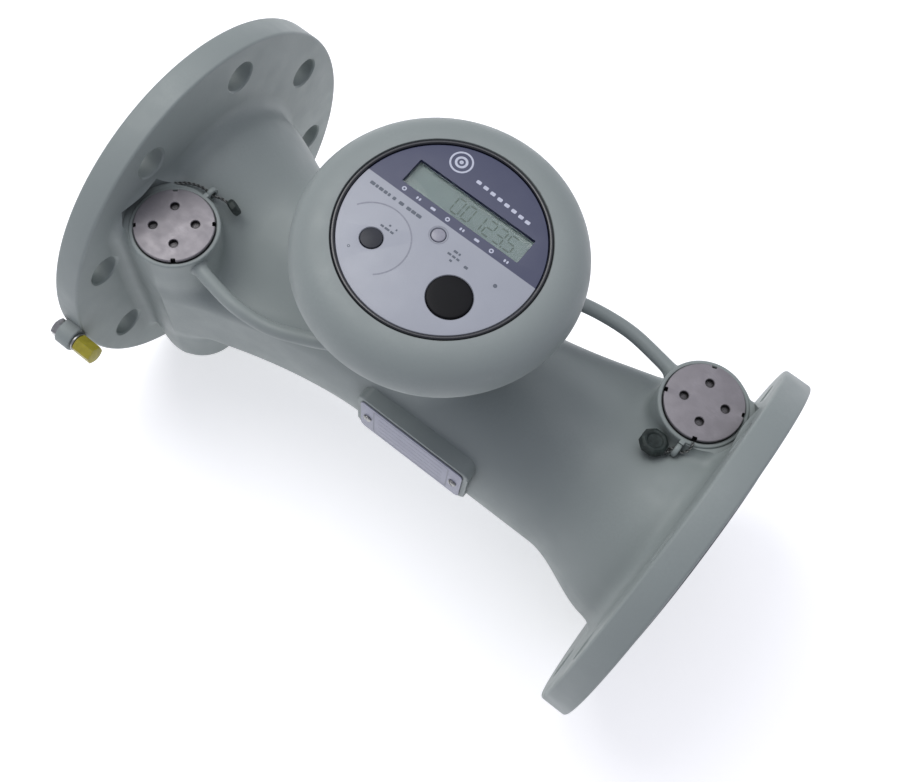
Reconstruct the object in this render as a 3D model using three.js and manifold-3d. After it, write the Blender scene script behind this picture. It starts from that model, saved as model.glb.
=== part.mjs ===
// Inline ultrasonic flow meter, DN100, flanged: millimetres, +Z up.
// Origin: on the pipe axis, midway between the two flange faces. +X runs from inlet to outlet.
// The head stands on top (+Z). The inlet boss is on the -Y side and the outlet boss on the +Y side,
// so that the sound path between the two transducers crosses the pipe at an angle.
import * as THREE from 'three';
import { mergeVertices } from 'three/addons/utils/BufferGeometryUtils.js';
import Module from 'manifold-3d';

const wasm = await Module();
wasm.setup();

// ---------------------------------------------------------------- driving dimensions
const GAP = 0.3;                  // clearance between touching pieces

const FACE_TO_FACE = 360;         // over the two raised faces
const FLANGE_D = 220;
const FLANGE_T = 16;
const RAISED_D = 158;
const RAISED_T = 3;
const BOLT_CIRCLE_D = 180;
const BOLT_HOLE_D = 18;
const BOLT_COUNT = 8;
const MOUTH_D = 100;              // bore at the flange faces
const THROAT_D = 78;              // bore through the waist

const WAIST_R = 47.8;             // outside of the neck at its middle
const NECK_RISE = 14.6;           // how much wider the neck gets where it meets the flange
const NECK_FLARE = 55;            // length of the flare at each end
const NECK_FILLET = 5;            // rounding between neck and flange

const BOSS_RIM = 2.4;             // wall of the transducer boss round its cap seat
const BOSS_PROUD = 15.2;          // boss rim above the waist
const BOSS_BOTTOM = -62;
const BOSS_ROUND = 5;
const POCKET_R = 17;              // blind hole in the boss
const POCKET_BOTTOM = -20;
const CHANNEL_HALF = 28.3;        // half width of the slanted sound-path housing at its middle
const CHANNEL_TOP = 30;
const CHANNEL_BOTTOM = -27;
const CHANNEL_ROUND = 9;
const WEB_OUT = 19;               // outer wall of the web behind the boss, from the boss axis
const WEB_IN = 21;                // inner wall of the same web

const CAP_R = 21.3;
const CAP_T = 3.7;
const CAP_PROUD = 2.1;            // cap top above the boss rim
const CAP_PIN_PCD = 22;
const CAP_PIN_R = 2.4;
const CAP_PIN_DEPTH = 2.4;
const CAP_NOTCH_W = 2.6;
const CAP_NOTCH_DEPTH = 1.6;
const CAP_LIFT = 12;
const INLET_CAP_TURN = 40.5;      // degrees, where each cap's first pin hole stopped
const OUTLET_CAP_TURN = 19;
const GASKET_T = 0.8;

const TRANSDUCER_R = 10;
const TRANSDUCER_LEN = 24;
const COLLAR_R = 12;
const COLLAR_LEN = 8;
const HOLDER_TOP = 19;

const TUBE_R = 3.9;               // conduit
const TUBE_DOWN = 8;              // conduit axis below the boss top
const TUBE_OUT = 12.4;            // conduit axis at its furthest, outside the waist
const GLAND_TURN = 57;            // degrees round the head from the pipe to where the conduit enters it
const TUBE_SIDES = 12;

const HEAD_X = -2;
const PEDESTAL_R = 36;
const PEDESTAL_PROUD = 5.2;       // seat of the head above the waist
const BASE_NECK_R = 40;
const BASE_NECK_H = 17.4;         // straight neck of the head base
const BASE_RIM_R = 62;
const BASE_FLARE_H = 29;          // flared part above it
const BASE_WALL = 3.5;
const BASE_GASKET_T = 1;
const BEZEL_R = 71;
const BEZEL_MID_H = 26.5;         // widest place of the bezel above the base rim
const BEZEL_CROWN_H = 18.7;       // bezel top above its widest place
const BEZEL_WALL = 5;
const RING_OUT_R = 50.9;          // black ring round the dial
const RING_W = 2;
const RING_PROUD = 0.2;
const DIAL_SUNK = 0.8;            // dial face below the bezel top
const DIAL_T = 4.1;
const LEDGE_W = 4.9;              // ledge under the ring, inwards from the ring's outside
const LEDGE_T = 2.2;

const LCD_X = [-32.6, 34.1];      // display opening, from the head axis
const LCD_Y = [11.4, 25.8];
const LCD_BORDER = 4.4;
const BUTTON_AT = [20.8, -21.7];
const BUTTON_R = 10.6;
const BUTTON_PROUD = 1.1;
const BUTTON_TRAVEL = 1.5;
const BUTTON_STEM_R = 3;
const PORT_AT = [-24.6, -20.9];
const PORT_R = 5.2;
const LAMP_AT = [-2.1, -0.2];
const LAMP_R = 3.4;
const BOARD_DOWN = 17.4;          // circuit board below the dial face
const BOARD_T = 1.6;
const BOARD_R = 50;
const POST_R = 4;
const POST_AT_R = 36;
const POST_ANGLES = [90, 210, 330];
const BATTERY_R = 13;
const BATTERY_LEN = 50;
const BATTERY_H = 40.4;           // battery axis above the foot of the head base

const PAD_X = [-12, 63];          // name plate pad on the -Y side
const PAD_Z = [-16, 26];
const PAD_PROUD = 1.8;            // pad face outside the waist
const PAD_ROUND = 6;
const PLATE_T = 0.8;
const PLATE_MARGIN = 3;

const EARTH_OUT = 5.8;            // earth bolt axis outside the flange rim
const EARTH_Z = -5;
const EARTH_EAR_R = 7;
const EARTH_EAR_T = 10;
const EARTH_SHANK_R = 3;

const SEAL_WIRE_R = 0.9;
const LUG_R = 4;
const LUG_T = 3;
const LUG_HOLE_R = 2;

// ---------------------------------------------------------------- sizes that follow from them
const HALF = FACE_TO_FACE / 2;
const FLANGE_OUT = HALF - RAISED_T;
const FLANGE_IN = FLANGE_OUT - FLANGE_T;
const NECK_END_R = WAIST_R + NECK_RISE;
const BOSS_R = CAP_R + GAP + BOSS_RIM;
const BOSS_TOP = WAIST_R + BOSS_PROUD;
const BOSS_X = FLANGE_IN - BOSS_R;
const BOSS_Y = WAIST_R;
const BEAM = Math.atan2(BOSS_Y, BOSS_X);
const CAP_SEAT_Z = BOSS_TOP + CAP_PROUD - CAP_T;
const CAP_TOP_Z = BOSS_TOP + CAP_PROUD;
const COUNTERBORE_Z = CAP_SEAT_Z - GAP - GASKET_T - GAP;
const TUBE_Z = BOSS_TOP - TUBE_DOWN;
const TUBE_BULGE_Y = WAIST_R + TUBE_OUT;
const PAD_FACE_Y = WAIST_R + PAD_PROUD;
const EARTH_Y = -(FLANGE_D / 2 + EARTH_OUT);
const PEDESTAL_TOP = WAIST_R + PEDESTAL_PROUD;
const BASE_GASKET_Z = PEDESTAL_TOP + GAP;
const BASE_BOTTOM_Z = BASE_GASKET_Z + BASE_GASKET_T + GAP;
const BASE_FLOOR_Z = BASE_BOTTOM_Z + BASE_WALL;
const BASE_INNER_R = BASE_NECK_R - BASE_WALL;
const BASE_NECK_TOP = BASE_BOTTOM_Z + BASE_NECK_H;
const BASE_RIM_Z = BASE_NECK_TOP + BASE_FLARE_H;
const BEZEL_GASKET_Z = BASE_RIM_Z + 2 + GAP;
const BEZEL_BOTTOM_Z = BEZEL_GASKET_Z + 1 + GAP;
const BEZEL_MID_Z = BASE_RIM_Z + BEZEL_MID_H;
const BEZEL_TOP_Z = BEZEL_MID_Z + BEZEL_CROWN_H;
const RING_IN_R = RING_OUT_R - RING_W;
const RING_TOP_Z = BEZEL_TOP_Z + RING_PROUD;
const DIAL_TOP_Z = BEZEL_TOP_Z - DIAL_SUNK;
const LEDGE_R = RING_OUT_R - LEDGE_W;
const DIAL_BOTTOM_Z = DIAL_TOP_Z - DIAL_T;
const LEDGE_TOP_Z = DIAL_BOTTOM_Z - GAP;
const BOARD_Z = DIAL_TOP_Z - BOARD_DOWN;
const BATTERY_Z = BASE_BOTTOM_Z + BATTERY_H;
const GLAND_Z = BASE_BOTTOM_Z + TUBE_R + 1.2;
const HEAD = new THREE.Vector3(HEAD_X, 0, 0);
const rad = THREE.MathUtils.degToRad;
const V = (x, y, z) => new THREE.Vector3(x, y, z);

// ---------------------------------------------------------------- materials
const finish = (color, roughness, metalness) => new THREE.MeshStandardMaterial({ color, roughness, metalness });
const PAINT = finish('#8d9894', 0.45, 0.0);
const STEEL = finish('#a9a7a8', 0.3, 1.0);
const BLACK = finish('#15171a', 0.35, 0.0);
const RUBBER = finish('#1c1d1e', 0.8, 0.0);
const DIAL = finish('#a9abb9', 0.5, 0.0);
const CLEAR = finish('#dfe6e4', 0.1, 0.0);
const DISPLAY = finish('#7f8f80', 0.4, 0.0);
const BOARD = finish('#1f5a3a', 0.6, 0.0);
const YELLOW = finish('#b3a53a', 0.5, 0.0);
const SEAL = finish('#1b2623', 0.6, 0.1);
const ALUMINIUM = finish('#9a9ca0', 0.4, 0.9);
const PLASTIC = finish('#c9c9c4', 0.5, 0.0);
const BRASS = finish('#b08d4f', 0.35, 1.0);

// ---------------------------------------------------------------- geometry helpers
// Positions only, shared vertices merged, empty triangles dropped, faces pointing out.
function closed(geometry) {
  const bare = new THREE.BufferGeometry();
  bare.setAttribute('position', geometry.getAttribute('position').clone());
  if (geometry.index) bare.setIndex(geometry.index.clone());
  const merged = mergeVertices(bare, 1e-3);
  const index = merged.index.array;
  const at = merged.getAttribute('position');
  const kept = [];
  let volume = 0;
  const [a, b, c] = [new THREE.Vector3(), new THREE.Vector3(), new THREE.Vector3()];
  for (let i = 0; i < index.length; i += 3) {
    const [p, q, r] = [index[i], index[i + 1], index[i + 2]];
    if (p === q || q === r || r === p) continue;
    kept.push(p, q, r);
    volume += a.fromBufferAttribute(at, p).dot(b.fromBufferAttribute(at, q).cross(c.fromBufferAttribute(at, r)));
  }
  if (volume < 0) for (let i = 0; i < kept.length; i += 3) [kept[i], kept[i + 1]] = [kept[i + 1], kept[i]];
  merged.setIndex(kept);
  return merged;
}

function solid(geometry) {
  const g = closed(geometry);
  return new wasm.Manifold(new wasm.Mesh({
    numProp: 3,
    vertProperties: new Float32Array(g.getAttribute('position').array),
    triVerts: new Uint32Array(g.index.array),
  }));
}

function geometryOf(manifold) {
  const mesh = manifold.getMesh();
  const g = new THREE.BufferGeometry();
  g.setAttribute('position', new THREE.BufferAttribute(new Float32Array(mesh.vertProperties), 3));
  g.setIndex(new THREE.BufferAttribute(new Uint32Array(mesh.triVerts), 1));
  return g;
}

const join = (first, ...rest) => rest.reduce((sum, next) => sum.add(next), first);
const cut = (body, ...tools) => tools.reduce((left, tool) => left.subtract(tool), body);

// A solid of revolution about Z from [radius, z] points.
function turned(points, sides = 48) {
  const outline = points.map(([r, z]) => new THREE.Vector2(r, z));
  return new THREE.LatheGeometry(outline, sides).rotateX(Math.PI / 2);
}

function rod(radius, z0, z1, sides = 32) {
  return turned([[0, z0], [radius, z0], [radius, z1], [0, z1]], sides);
}

function ring(inner, outer, z0, z1, sides = 48) {
  return turned([[inner, z0], [outer, z0], [outer, z1], [inner, z1], [inner, z0]], sides);
}

// Moves something made along +Z from the origin so that it runs from `from` along `direction`.
function aim(geometry, from, direction) {
  const turn = new THREE.Quaternion().setFromUnitVectors(V(0, 0, 1), direction.clone().normalize());
  return geometry.applyQuaternion(turn).translate(from.x, from.y, from.z);
}

function box(x, y, z) {
  return new THREE.BoxGeometry(x[1] - x[0], y[1] - y[0], z[1] - z[0])
    .translate((x[0] + x[1]) / 2, (y[0] + y[1]) / 2, (z[0] + z[1]) / 2);
}

// An outline of a rectangle with rounded corners.
function roundedRectangle(u, v, r) {
  const s = new THREE.Shape();
  s.moveTo(u[0] + r, v[0]);
  s.lineTo(u[1] - r, v[0]);
  s.absarc(u[1] - r, v[0] + r, r, -Math.PI / 2, 0);
  s.lineTo(u[1], v[1] - r);
  s.absarc(u[1] - r, v[1] - r, r, 0, Math.PI / 2);
  s.lineTo(u[0] + r, v[1]);
  s.absarc(u[0] + r, v[1] - r, r, Math.PI / 2, Math.PI);
  s.lineTo(u[0], v[0] + r);
  s.absarc(u[0] + r, v[0] + r, r, Math.PI, Math.PI * 1.5);
  return s;
}

const raised = (shape, depth, curveSegments = 6) =>
  new THREE.ExtrudeGeometry(shape, { depth, bevelEnabled: false, curveSegments });

// A round bar along a smooth route.
function bar(points, radius, sides, steps) {
  const path = new THREE.CatmullRomCurve3(points, false, 'centripetal');
  const section = new THREE.Shape();
  for (let i = 0; i < sides; i += 1) {
    const angle = (2 * Math.PI * i) / sides;
    section[i ? 'lineTo' : 'moveTo'](radius * Math.cos(angle), radius * Math.sin(angle));
  }
  section.closePath();
  return new THREE.ExtrudeGeometry(section, { steps, extrudePath: path, bevelEnabled: false });
}

function hexagon(acrossFlats) {
  const s = new THREE.Shape();
  const r = acrossFlats / Math.sqrt(3);
  for (let i = 0; i < 6; i += 1) {
    s[i ? 'lineTo' : 'moveTo'](r * Math.cos((Math.PI * i) / 3), r * Math.sin((Math.PI * i) / 3));
  }
  s.closePath();
  return s;
}

const part = new THREE.Group();
function add(name, shape, material) {
  const geometry = shape.isBufferGeometry ? closed(shape) : geometryOf(shape);
  const mesh = new THREE.Mesh(geometry, material);
  mesh.name = name;
  part.add(mesh);
  return mesh;
}

// The two ends of the meter: the outlet is the inlet turned half round the Z axis.
const ENDS = [
  { name: 'inlet', sign: -1, capTurn: INLET_CAP_TURN, lugShift: 0 },
  { name: 'outlet', sign: 1, capTurn: OUTLET_CAP_TURN, lugShift: 3 },
];
const bossAt = (end) => V(end.sign * BOSS_X, end.sign * BOSS_Y, 0);
const beamInward = (end) => V(-end.sign * Math.cos(BEAM), -end.sign * Math.sin(BEAM), 0);

// ---------------------------------------------------------------- conduit route
// The tube leaves the boss towards the middle, bows outwards and turns into the head base.
const glandDirection = (end) => V(end.sign * Math.cos(rad(GLAND_TURN)), end.sign * Math.sin(rad(GLAND_TURN)), 0);
function conduitRoute(end) {
  const boss = bossAt(end);
  const leave = V(-end.sign * Math.cos(rad(18)), end.sign * Math.sin(rad(18)), 0);
  const gland = glandDirection(end);
  const fromX = end.sign * HEAD.x + BASE_NECK_R + 7;
  const toX = BOSS_X - BOSS_R - 3;
  const along = (t, inward, rise) => V(end.sign * THREE.MathUtils.lerp(fromX, toX, t),
    end.sign * (TUBE_BULGE_Y - inward), TUBE_Z + rise);
  return [
    boss.clone().addScaledVector(leave, POCKET_R + 1).setZ(TUBE_Z),
    boss.clone().addScaledVector(leave, BOSS_R + 3).setZ(TUBE_Z),
    along(0.91, 2.6, 0),
    along(0.6, 0, 0.2),
    along(0.25, 1.9, 0.2),
    along(0, 7, 1.6),
    HEAD.clone().addScaledVector(gland, BASE_NECK_R + 13).setZ(GLAND_Z - 0.6),
    HEAD.clone().addScaledVector(gland, BASE_NECK_R + 6).setZ(GLAND_Z),
    HEAD.clone().addScaledVector(gland, BASE_NECK_R + GAP).setZ(GLAND_Z),
  ];
}

// ---------------------------------------------------------------- body casting
function neckAndFlanges() {
  const r = FLANGE_D / 2;
  const flareFrom = FLANGE_IN - NECK_FLARE;
  const half = [[0, WAIST_R], [flareFrom, WAIST_R]];
  const steps = 7;
  for (let i = 1; i < steps; i += 1) {
    const t = i / steps;
    half.push([flareFrom + t * (NECK_FLARE - NECK_FILLET), WAIST_R + (NECK_END_R - WAIST_R) * t * t * (3 - 2 * t)]);
  }
  for (let i = 0; i <= 2; i += 1) {
    const a = (Math.PI / 2) * (i / 2);
    half.push([
      FLANGE_IN - NECK_FILLET + NECK_FILLET * Math.sin(a),
      NECK_END_R + NECK_FILLET * (1 - Math.cos(a)),
    ]);
  }
  const edge = 1;
  half.push([FLANGE_IN, r - edge], [FLANGE_IN + edge, r], [FLANGE_OUT - edge, r], [FLANGE_OUT, r - edge]);
  half.push([FLANGE_OUT, RAISED_D / 2], [HALF, RAISED_D / 2], [HALF, 0]);
  const left = half.slice(1).map(([x, radius]) => [-x, radius]).reverse();
  const outline = [...left, ...half.slice(1)].map(([x, radius]) => [radius, x]);
  return turned(outline, 48).rotateY(Math.PI / 2);
}

function bore() {
  const past = HALF + 5;
  const taperTo = FLANGE_IN - NECK_FLARE - 5;
  const mouth = MOUTH_D / 2;
  const throat = THROAT_D / 2;
  const outline = [[0, -past], [mouth, -past], [mouth, -FLANGE_IN + 10], [throat, -taperTo],
    [throat, taperTo], [mouth, FLANGE_IN - 10], [mouth, past], [0, past]];
  return turned(outline, 40).rotateY(Math.PI / 2);
}

function boss(end) {
  const at = bossAt(end);
  const outline = [[0, BOSS_BOTTOM]];
  for (let i = 0; i <= 3; i += 1) {
    const a = (Math.PI / 2) * (i / 3);
    outline.push([BOSS_R - BOSS_ROUND + BOSS_ROUND * Math.sin(a), BOSS_BOTTOM + BOSS_ROUND * (1 - Math.cos(a))]);
  }
  outline.push([BOSS_R, BOSS_TOP - 1], [BOSS_R - 1, BOSS_TOP], [0, BOSS_TOP]);
  const post = solid(turned(outline, 36).translate(at.x, at.y, 0));
  const webX = end.sign > 0 ? [at.x, FLANGE_IN + 1] : [-FLANGE_IN - 1, at.x];
  const outer = at.y + end.sign * WEB_OUT;
  const inner = at.y - end.sign * WEB_IN;
  const web = raised(roundedRectangle([Math.min(outer, inner), Math.max(outer, inner)],
    [BOSS_BOTTOM + BOSS_ROUND, BOSS_TOP - 5], 5), webX[1] - webX[0], 3);
  web.rotateX(Math.PI / 2).rotateZ(Math.PI / 2).translate(webX[0], 0, 0);
  return join(post, solid(web));
}

// The slanted housing round the sound path, from boss to boss.
function channelHousing() {
  const section = roundedRectangle([-CHANNEL_HALF, CHANNEL_HALF], [CHANNEL_BOTTOM, CHANNEL_TOP], CHANNEL_ROUND);
  const middle = raised(section, 1, 3).translate(0, 0, -0.5);
  const pieces = [solid(middle.rotateX(Math.PI / 2).rotateZ(Math.PI / 2 + BEAM))];
  for (const end of ENDS) {
    const at = bossAt(end);
    const r = BOSS_R - 0.5;
    const round = CHANNEL_ROUND;
    const outline = [[0, CHANNEL_BOTTOM], [r - round, CHANNEL_BOTTOM], [r - round * 0.3, CHANNEL_BOTTOM + round * 0.3],
      [r, CHANNEL_BOTTOM + round], [r, CHANNEL_TOP - round], [r - round * 0.3, CHANNEL_TOP - round * 0.3],
      [r - round, CHANNEL_TOP], [0, CHANNEL_TOP]];
    pieces.push(solid(turned(outline, 24).translate(at.x, at.y, 0)));
  }
  return wasm.Manifold.hull(pieces);
}

function platePad() {
  const g = raised(roundedRectangle(PAD_X, PAD_Z, PAD_ROUND), PAD_FACE_Y, 4);
  return solid(g.rotateX(Math.PI / 2));
}

const PLATE_SCREWS = [PAD_X[0] + PLATE_MARGIN + 5, PAD_X[1] - PLATE_MARGIN - 5]
  .map((x) => V(x, -PAD_FACE_Y, (PAD_Z[0] + PAD_Z[1]) / 2));

function lugAt(end) {
  return bossAt(end).add(V(end.sign * end.lugShift, -end.sign * (BOSS_R + LUG_R), BOSS_TOP - LUG_R));
}

function sealLug(end) {
  const at = lugAt(end);
  const eye = solid(rod(LUG_R, -LUG_T / 2, LUG_T / 2, 16).rotateY(Math.PI / 2).translate(at.x, at.y, at.z));
  const root = box([at.x - LUG_T / 2, at.x + LUG_T / 2], [-1, 1], [-LUG_R, LUG_R]);
  root.scale(1, 3, 1).translate(0, at.y + end.sign * 3, at.z);
  return join(eye, solid(root));
}

function earthEar() {
  const x = [-FLANGE_IN - 1.5 - EARTH_EAR_T, -FLANGE_IN - 1.5];
  const eye = solid(rod(EARTH_EAR_R, x[0], x[1], 24).rotateY(Math.PI / 2).translate(0, EARTH_Y, EARTH_Z));
  const root = box(x, [EARTH_Y, -FLANGE_D / 2 + 6], [EARTH_Z - EARTH_EAR_R, EARTH_Z + EARTH_EAR_R]);
  return join(eye, solid(root));
}

const BASE_SCREWS = [30, 150, 270].map((a) => V(HEAD_X + 27 * Math.cos(rad(a)), 27 * Math.sin(rad(a)), 0));

function bodyCasting() {
  const pedestal = solid(rod(PEDESTAL_R, 0, PEDESTAL_TOP, 48).translate(HEAD_X, 0, 0));
  let body = join(solid(neckAndFlanges()), channelHousing(), platePad(), pedestal, earthEar());
  for (const end of ENDS) body = join(body, boss(end), sealLug(end));

  const tools = [solid(bore())];
  for (const end of ENDS) {
    const at = bossAt(end);
    tools.push(solid(rod(POCKET_R, POCKET_BOTTOM, BOSS_TOP + 5, 32).translate(at.x, at.y, 0)));
    tools.push(solid(rod(CAP_R + GAP, COUNTERBORE_Z, BOSS_TOP + 5, 40).translate(at.x, at.y, 0)));
    const channel = rod(COLLAR_R + GAP, 0, Math.hypot(BOSS_X, BOSS_Y), 32);
    tools.push(solid(aim(channel, at, beamInward(end))));
    const hole = conduitRoute(end).slice(0, 2);
    const outward = hole[1].clone().sub(hole[0]);
    tools.push(solid(aim(rod(TUBE_R + GAP, -4, 20, 16), hole[0], outward.setZ(0))));
    tools.push(solid(rod(LUG_HOLE_R, -LUG_T, LUG_T, 12).rotateY(Math.PI / 2)
      .translate(lugAt(end).x, lugAt(end).y, lugAt(end).z)));
    for (let i = 0; i < BOLT_COUNT; i += 1) {
      const a = rad((360 / BOLT_COUNT) * (i + 0.5));
      const hx = end.sign * FLANGE_OUT;
      const through = rod(BOLT_HOLE_D / 2, -FLANGE_T * 1.2, FLANGE_T * 1.2, 16).rotateY(Math.PI / 2);
      const r = BOLT_CIRCLE_D / 2;
      tools.push(solid(through.translate(hx, r * Math.cos(a), r * Math.sin(a))));
    }
  }
  tools.push(solid(rod(EARTH_SHANK_R + GAP, -HALF, -FLANGE_IN + 5, 16).rotateY(Math.PI / 2)
    .translate(0, EARTH_Y, EARTH_Z)));
  for (const at of PLATE_SCREWS) {
    tools.push(solid(rod(1.3 + GAP, 0, 8, 12).rotateX(-Math.PI / 2).translate(at.x, at.y - 1, at.z)));
  }
  for (const at of BASE_SCREWS) tools.push(solid(rod(2 + GAP, PEDESTAL_TOP - 9, PEDESTAL_TOP + 1, 16)
    .translate(at.x, at.y, 0)));
  return cut(body, ...tools);
}
add('body_casting', bodyCasting(), PAINT);

// ---------------------------------------------------------------- transducer ends
function cap(end) {
  const at = bossAt(end);
  const disc = solid(turned([[0, CAP_SEAT_Z], [CAP_R, CAP_SEAT_Z], [CAP_R, CAP_TOP_Z - 0.6],
    [CAP_R - 0.6, CAP_TOP_Z], [0, CAP_TOP_Z]], 48));
  const tools = [];
  for (let i = 0; i < 4; i += 1) {
    const a = rad(end.capTurn + 90 * i);
    const r = CAP_PIN_PCD / 2;
    tools.push(solid(rod(CAP_PIN_R, CAP_TOP_Z - CAP_PIN_DEPTH, CAP_TOP_Z + 1, 16)
      .translate(r * Math.cos(a), r * Math.sin(a), 0)));
    const notch = box([CAP_R - CAP_NOTCH_DEPTH, CAP_R + 2], [-CAP_NOTCH_W / 2, CAP_NOTCH_W / 2],
      [CAP_SEAT_Z - 1, CAP_TOP_Z + 1]);
    tools.push(solid(notch.rotateZ(a)));
  }
  return cut(disc, ...tools).translate([at.x, at.y, 0]);
}

function transducer(end) {
  const front = COLLAR_LEN + TRANSDUCER_LEN;
  const outline = [[0, 0], [COLLAR_R, 0], [COLLAR_R, COLLAR_LEN], [TRANSDUCER_R, COLLAR_LEN],
    [TRANSDUCER_R, front - 1], [TRANSDUCER_R - 1, front], [0, front]];
  const start = bossAt(end).addScaledVector(beamInward(end), 4);
  return aim(turned(outline, 32), start, beamInward(end));
}

function transducerHolder(end) {
  const at = bossAt(end);
  const block = solid(rod(POCKET_R - GAP, POCKET_BOTTOM + GAP, HOLDER_TOP, 32).translate(at.x, at.y, 0));
  const start = at.clone().addScaledVector(beamInward(end), 4 - GAP);
  const seat = solid(aim(rod(COLLAR_R + GAP, 0, 40, 32), start, beamInward(end)));
  const leadHole = solid(rod(2.4, 0, HOLDER_TOP + 5, 16).translate(at.x, at.y, 0)
    .translate(beamInward(end).x * 7, beamInward(end).y * 7, 0));
  return cut(block, seat, leadHole, solid(bore()));
}

function oRing(radius, thickness, sides, sectionSides) {
  return new THREE.TorusGeometry(radius, thickness, sectionSides, sides);
}

function transducerLead(end) {
  const from = bossAt(end).addScaledVector(beamInward(end), 7).setZ(COLLAR_R + 1.2);
  const to = conduitRoute(end)[0];
  const inward = bossAt(end).sub(to).setZ(0).normalize();
  const stop = to.clone().addScaledVector(inward, GAP);
  return bar([from, from.clone().setZ(28), from.clone().lerp(stop, 0.5).setZ(44),
    stop.clone().addScaledVector(inward, 5), stop], 1.1, 8, 16);
}

for (const end of ENDS) {
  const at = bossAt(end);
  const sealAt = at.clone().addScaledVector(beamInward(end), 4 + COLLAR_LEN + 1.1);
  add(`${end.name}_transducer`, transducer(end), STEEL);
  add(`${end.name}_transducer_holder`, transducerHolder(end), PLASTIC);
  add(`${end.name}_transducer_o_ring`, aim(oRing(TRANSDUCER_R + 1.15, 0.8, 24, 6), sealAt, beamInward(end)), RUBBER);
  add(`${end.name}_transducer_lead`, transducerLead(end), BLACK);
  add(`${end.name}_cap_gasket`, ring(POCKET_R + 0.8, CAP_R - 0.4, COUNTERBORE_Z + GAP,
    COUNTERBORE_Z + GAP + GASKET_T).translate(at.x, at.y, 0), RUBBER);
  add(`${end.name}_cap`, cap(end), STEEL);
  add(`${end.name}_conduit`, bar(conduitRoute(end), TUBE_R, TUBE_SIDES, 28), PAINT);
}

// ---------------------------------------------------------------- sealing wires and seals
// Each wire runs from its seal through the eye of the lug and ends near the cap's edge. Its points are
// chosen by hand, from the middle of the lug's eye, with X and Y turned round for the inlet.
const SEALS = {
  inlet: {
    radius: 4.6,
    thickness: 4.2,
    flat: false,
    fromLug: [-13.6, -4],
    wire: [[-4.6, -1.8, -1.6], [-2, -0.1, -0.1], [0, 0, 0], [2.4, 0, 0.2], [6.5, 0.7, 1.5], [12.5, 3.7, 2.5],
      [18.5, 8.2, 1.9]],
  },
  outlet: {
    radius: 7.6,
    thickness: 5.6,
    flat: true,
    fromLug: [-11.4, -5.2],
    wire: [[-3.2, -2.0, -1.3], [-1.7, -0.1, 0], [0, 0, 0.1], [2.4, 0.1, 0.3], [4.6, 1.8, 2.6], [4.9, 4.8, 5.5],
      [4.2, 6.2, 5.5]],
  },
};

function neckRadiusAt(x) {
  const t = THREE.MathUtils.clamp((Math.abs(x) - FLANGE_IN + NECK_FLARE) / (NECK_FLARE - NECK_FILLET), 0, 1);
  return WAIST_R + (NECK_END_R - WAIST_R) * t * t * (3 - 2 * t);
}

for (const end of ENDS) {
  const { radius: r, thickness: t, flat, fromLug, wire } = SEALS[end.name];
  const lug = lugAt(end);
  const x = lug.x + end.sign * fromLug[0];
  const y = lug.y + end.sign * fromLug[1];
  const neck = neckRadiusAt(Math.abs(x) + r);
  const tilt = Math.asin(y / neck);
  const outward = V(0, Math.sin(tilt), Math.cos(tilt));
  const rest = outward.clone().multiplyScalar(neck + 1.2).setX(x);
  const disc = turned([[0, 0], [r - 0.7, 0], [r, 0.7], [r, t - 0.7], [r - 0.7, t], [0, t]], 20);
  if (!flat) disc.translate(0, 0, -t / 2).rotateX(Math.PI / 2).rotateZ(rad(-20)).translate(0, 0, r);
  add(`${end.name}_seal`, aim(disc, rest, outward), SEAL);

  const centre = rest.clone().addScaledVector(outward, flat ? t / 2 : r);
  const start = centre.clone().add(V(end.sign * (r + SEAL_WIRE_R + GAP), 0, 0));
  const route = wire.map((p) => lug.clone().add(V(end.sign * p[0], end.sign * p[1], p[2])));
  add(`${end.name}_seal_wire`, bar([start, ...route], SEAL_WIRE_R, 6, 30), STEEL);
}

// ---------------------------------------------------------------- name plate
const plate = roundedRectangle([PAD_X[0] + PLATE_MARGIN, PAD_X[1] - PLATE_MARGIN],
  [PAD_Z[0] + PLATE_MARGIN, PAD_Z[1] - PLATE_MARGIN], PAD_ROUND - PLATE_MARGIN);
const plateSolid = solid(raised(plate, PLATE_T, 4).rotateX(Math.PI / 2).translate(0, -PAD_FACE_Y - GAP, 0));
const plateHoles = PLATE_SCREWS.map((at) =>
  solid(rod(1.3 + GAP, -4, 4, 12).rotateX(Math.PI / 2).translate(at.x, at.y, at.z)));
add('name_plate', cut(plateSolid, ...plateHoles), ALUMINIUM);
PLATE_SCREWS.forEach((at, i) => {
  const headFrom = GAP + PLATE_T + GAP;
  const outline = [[0, -6], [1.3, -6], [1.3, headFrom], [2.6, headFrom], [2.2, headFrom + 1.1], [0, headFrom + 1.4]];
  add(`name_plate_screw_${i + 1}`, aim(turned(outline, 16), at, V(0, -1, 0)), STEEL);
});

// ---------------------------------------------------------------- earth bolt
const earX = [-FLANGE_IN - 1.5 - EARTH_EAR_T, -FLANGE_IN - 1.5];
const alongX = (g) => g.rotateY(Math.PI / 2).translate(0, EARTH_Y, EARTH_Z);
const boltHead = solid(alongX(raised(hexagon(10), 4).translate(0, 0, earX[0] - GAP - 4)));
const boltShank = solid(alongX(rod(EARTH_SHANK_R, earX[0] - GAP - 1, earX[1] + 12, 20)));
add('earth_bolt', join(boltHead, boltShank), STEEL);
const earthRing = (outer, from, to) => alongX(ring(EARTH_SHANK_R + GAP, outer, from, to, 24));
add('earth_washer', earthRing(5.6, earX[1] + GAP, earX[1] + GAP + 1.4), STEEL);
const nutFrom = earX[1] + GAP + 1.4 + GAP;
const nut = solid(alongX(raised(hexagon(10), 12.5).translate(0, 0, nutFrom)));
const nutBore = solid(alongX(rod(EARTH_SHANK_R + GAP, nutFrom - 1, nutFrom + 11, 20)));
add('earth_nut', cut(nut, nutBore), YELLOW);

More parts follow.
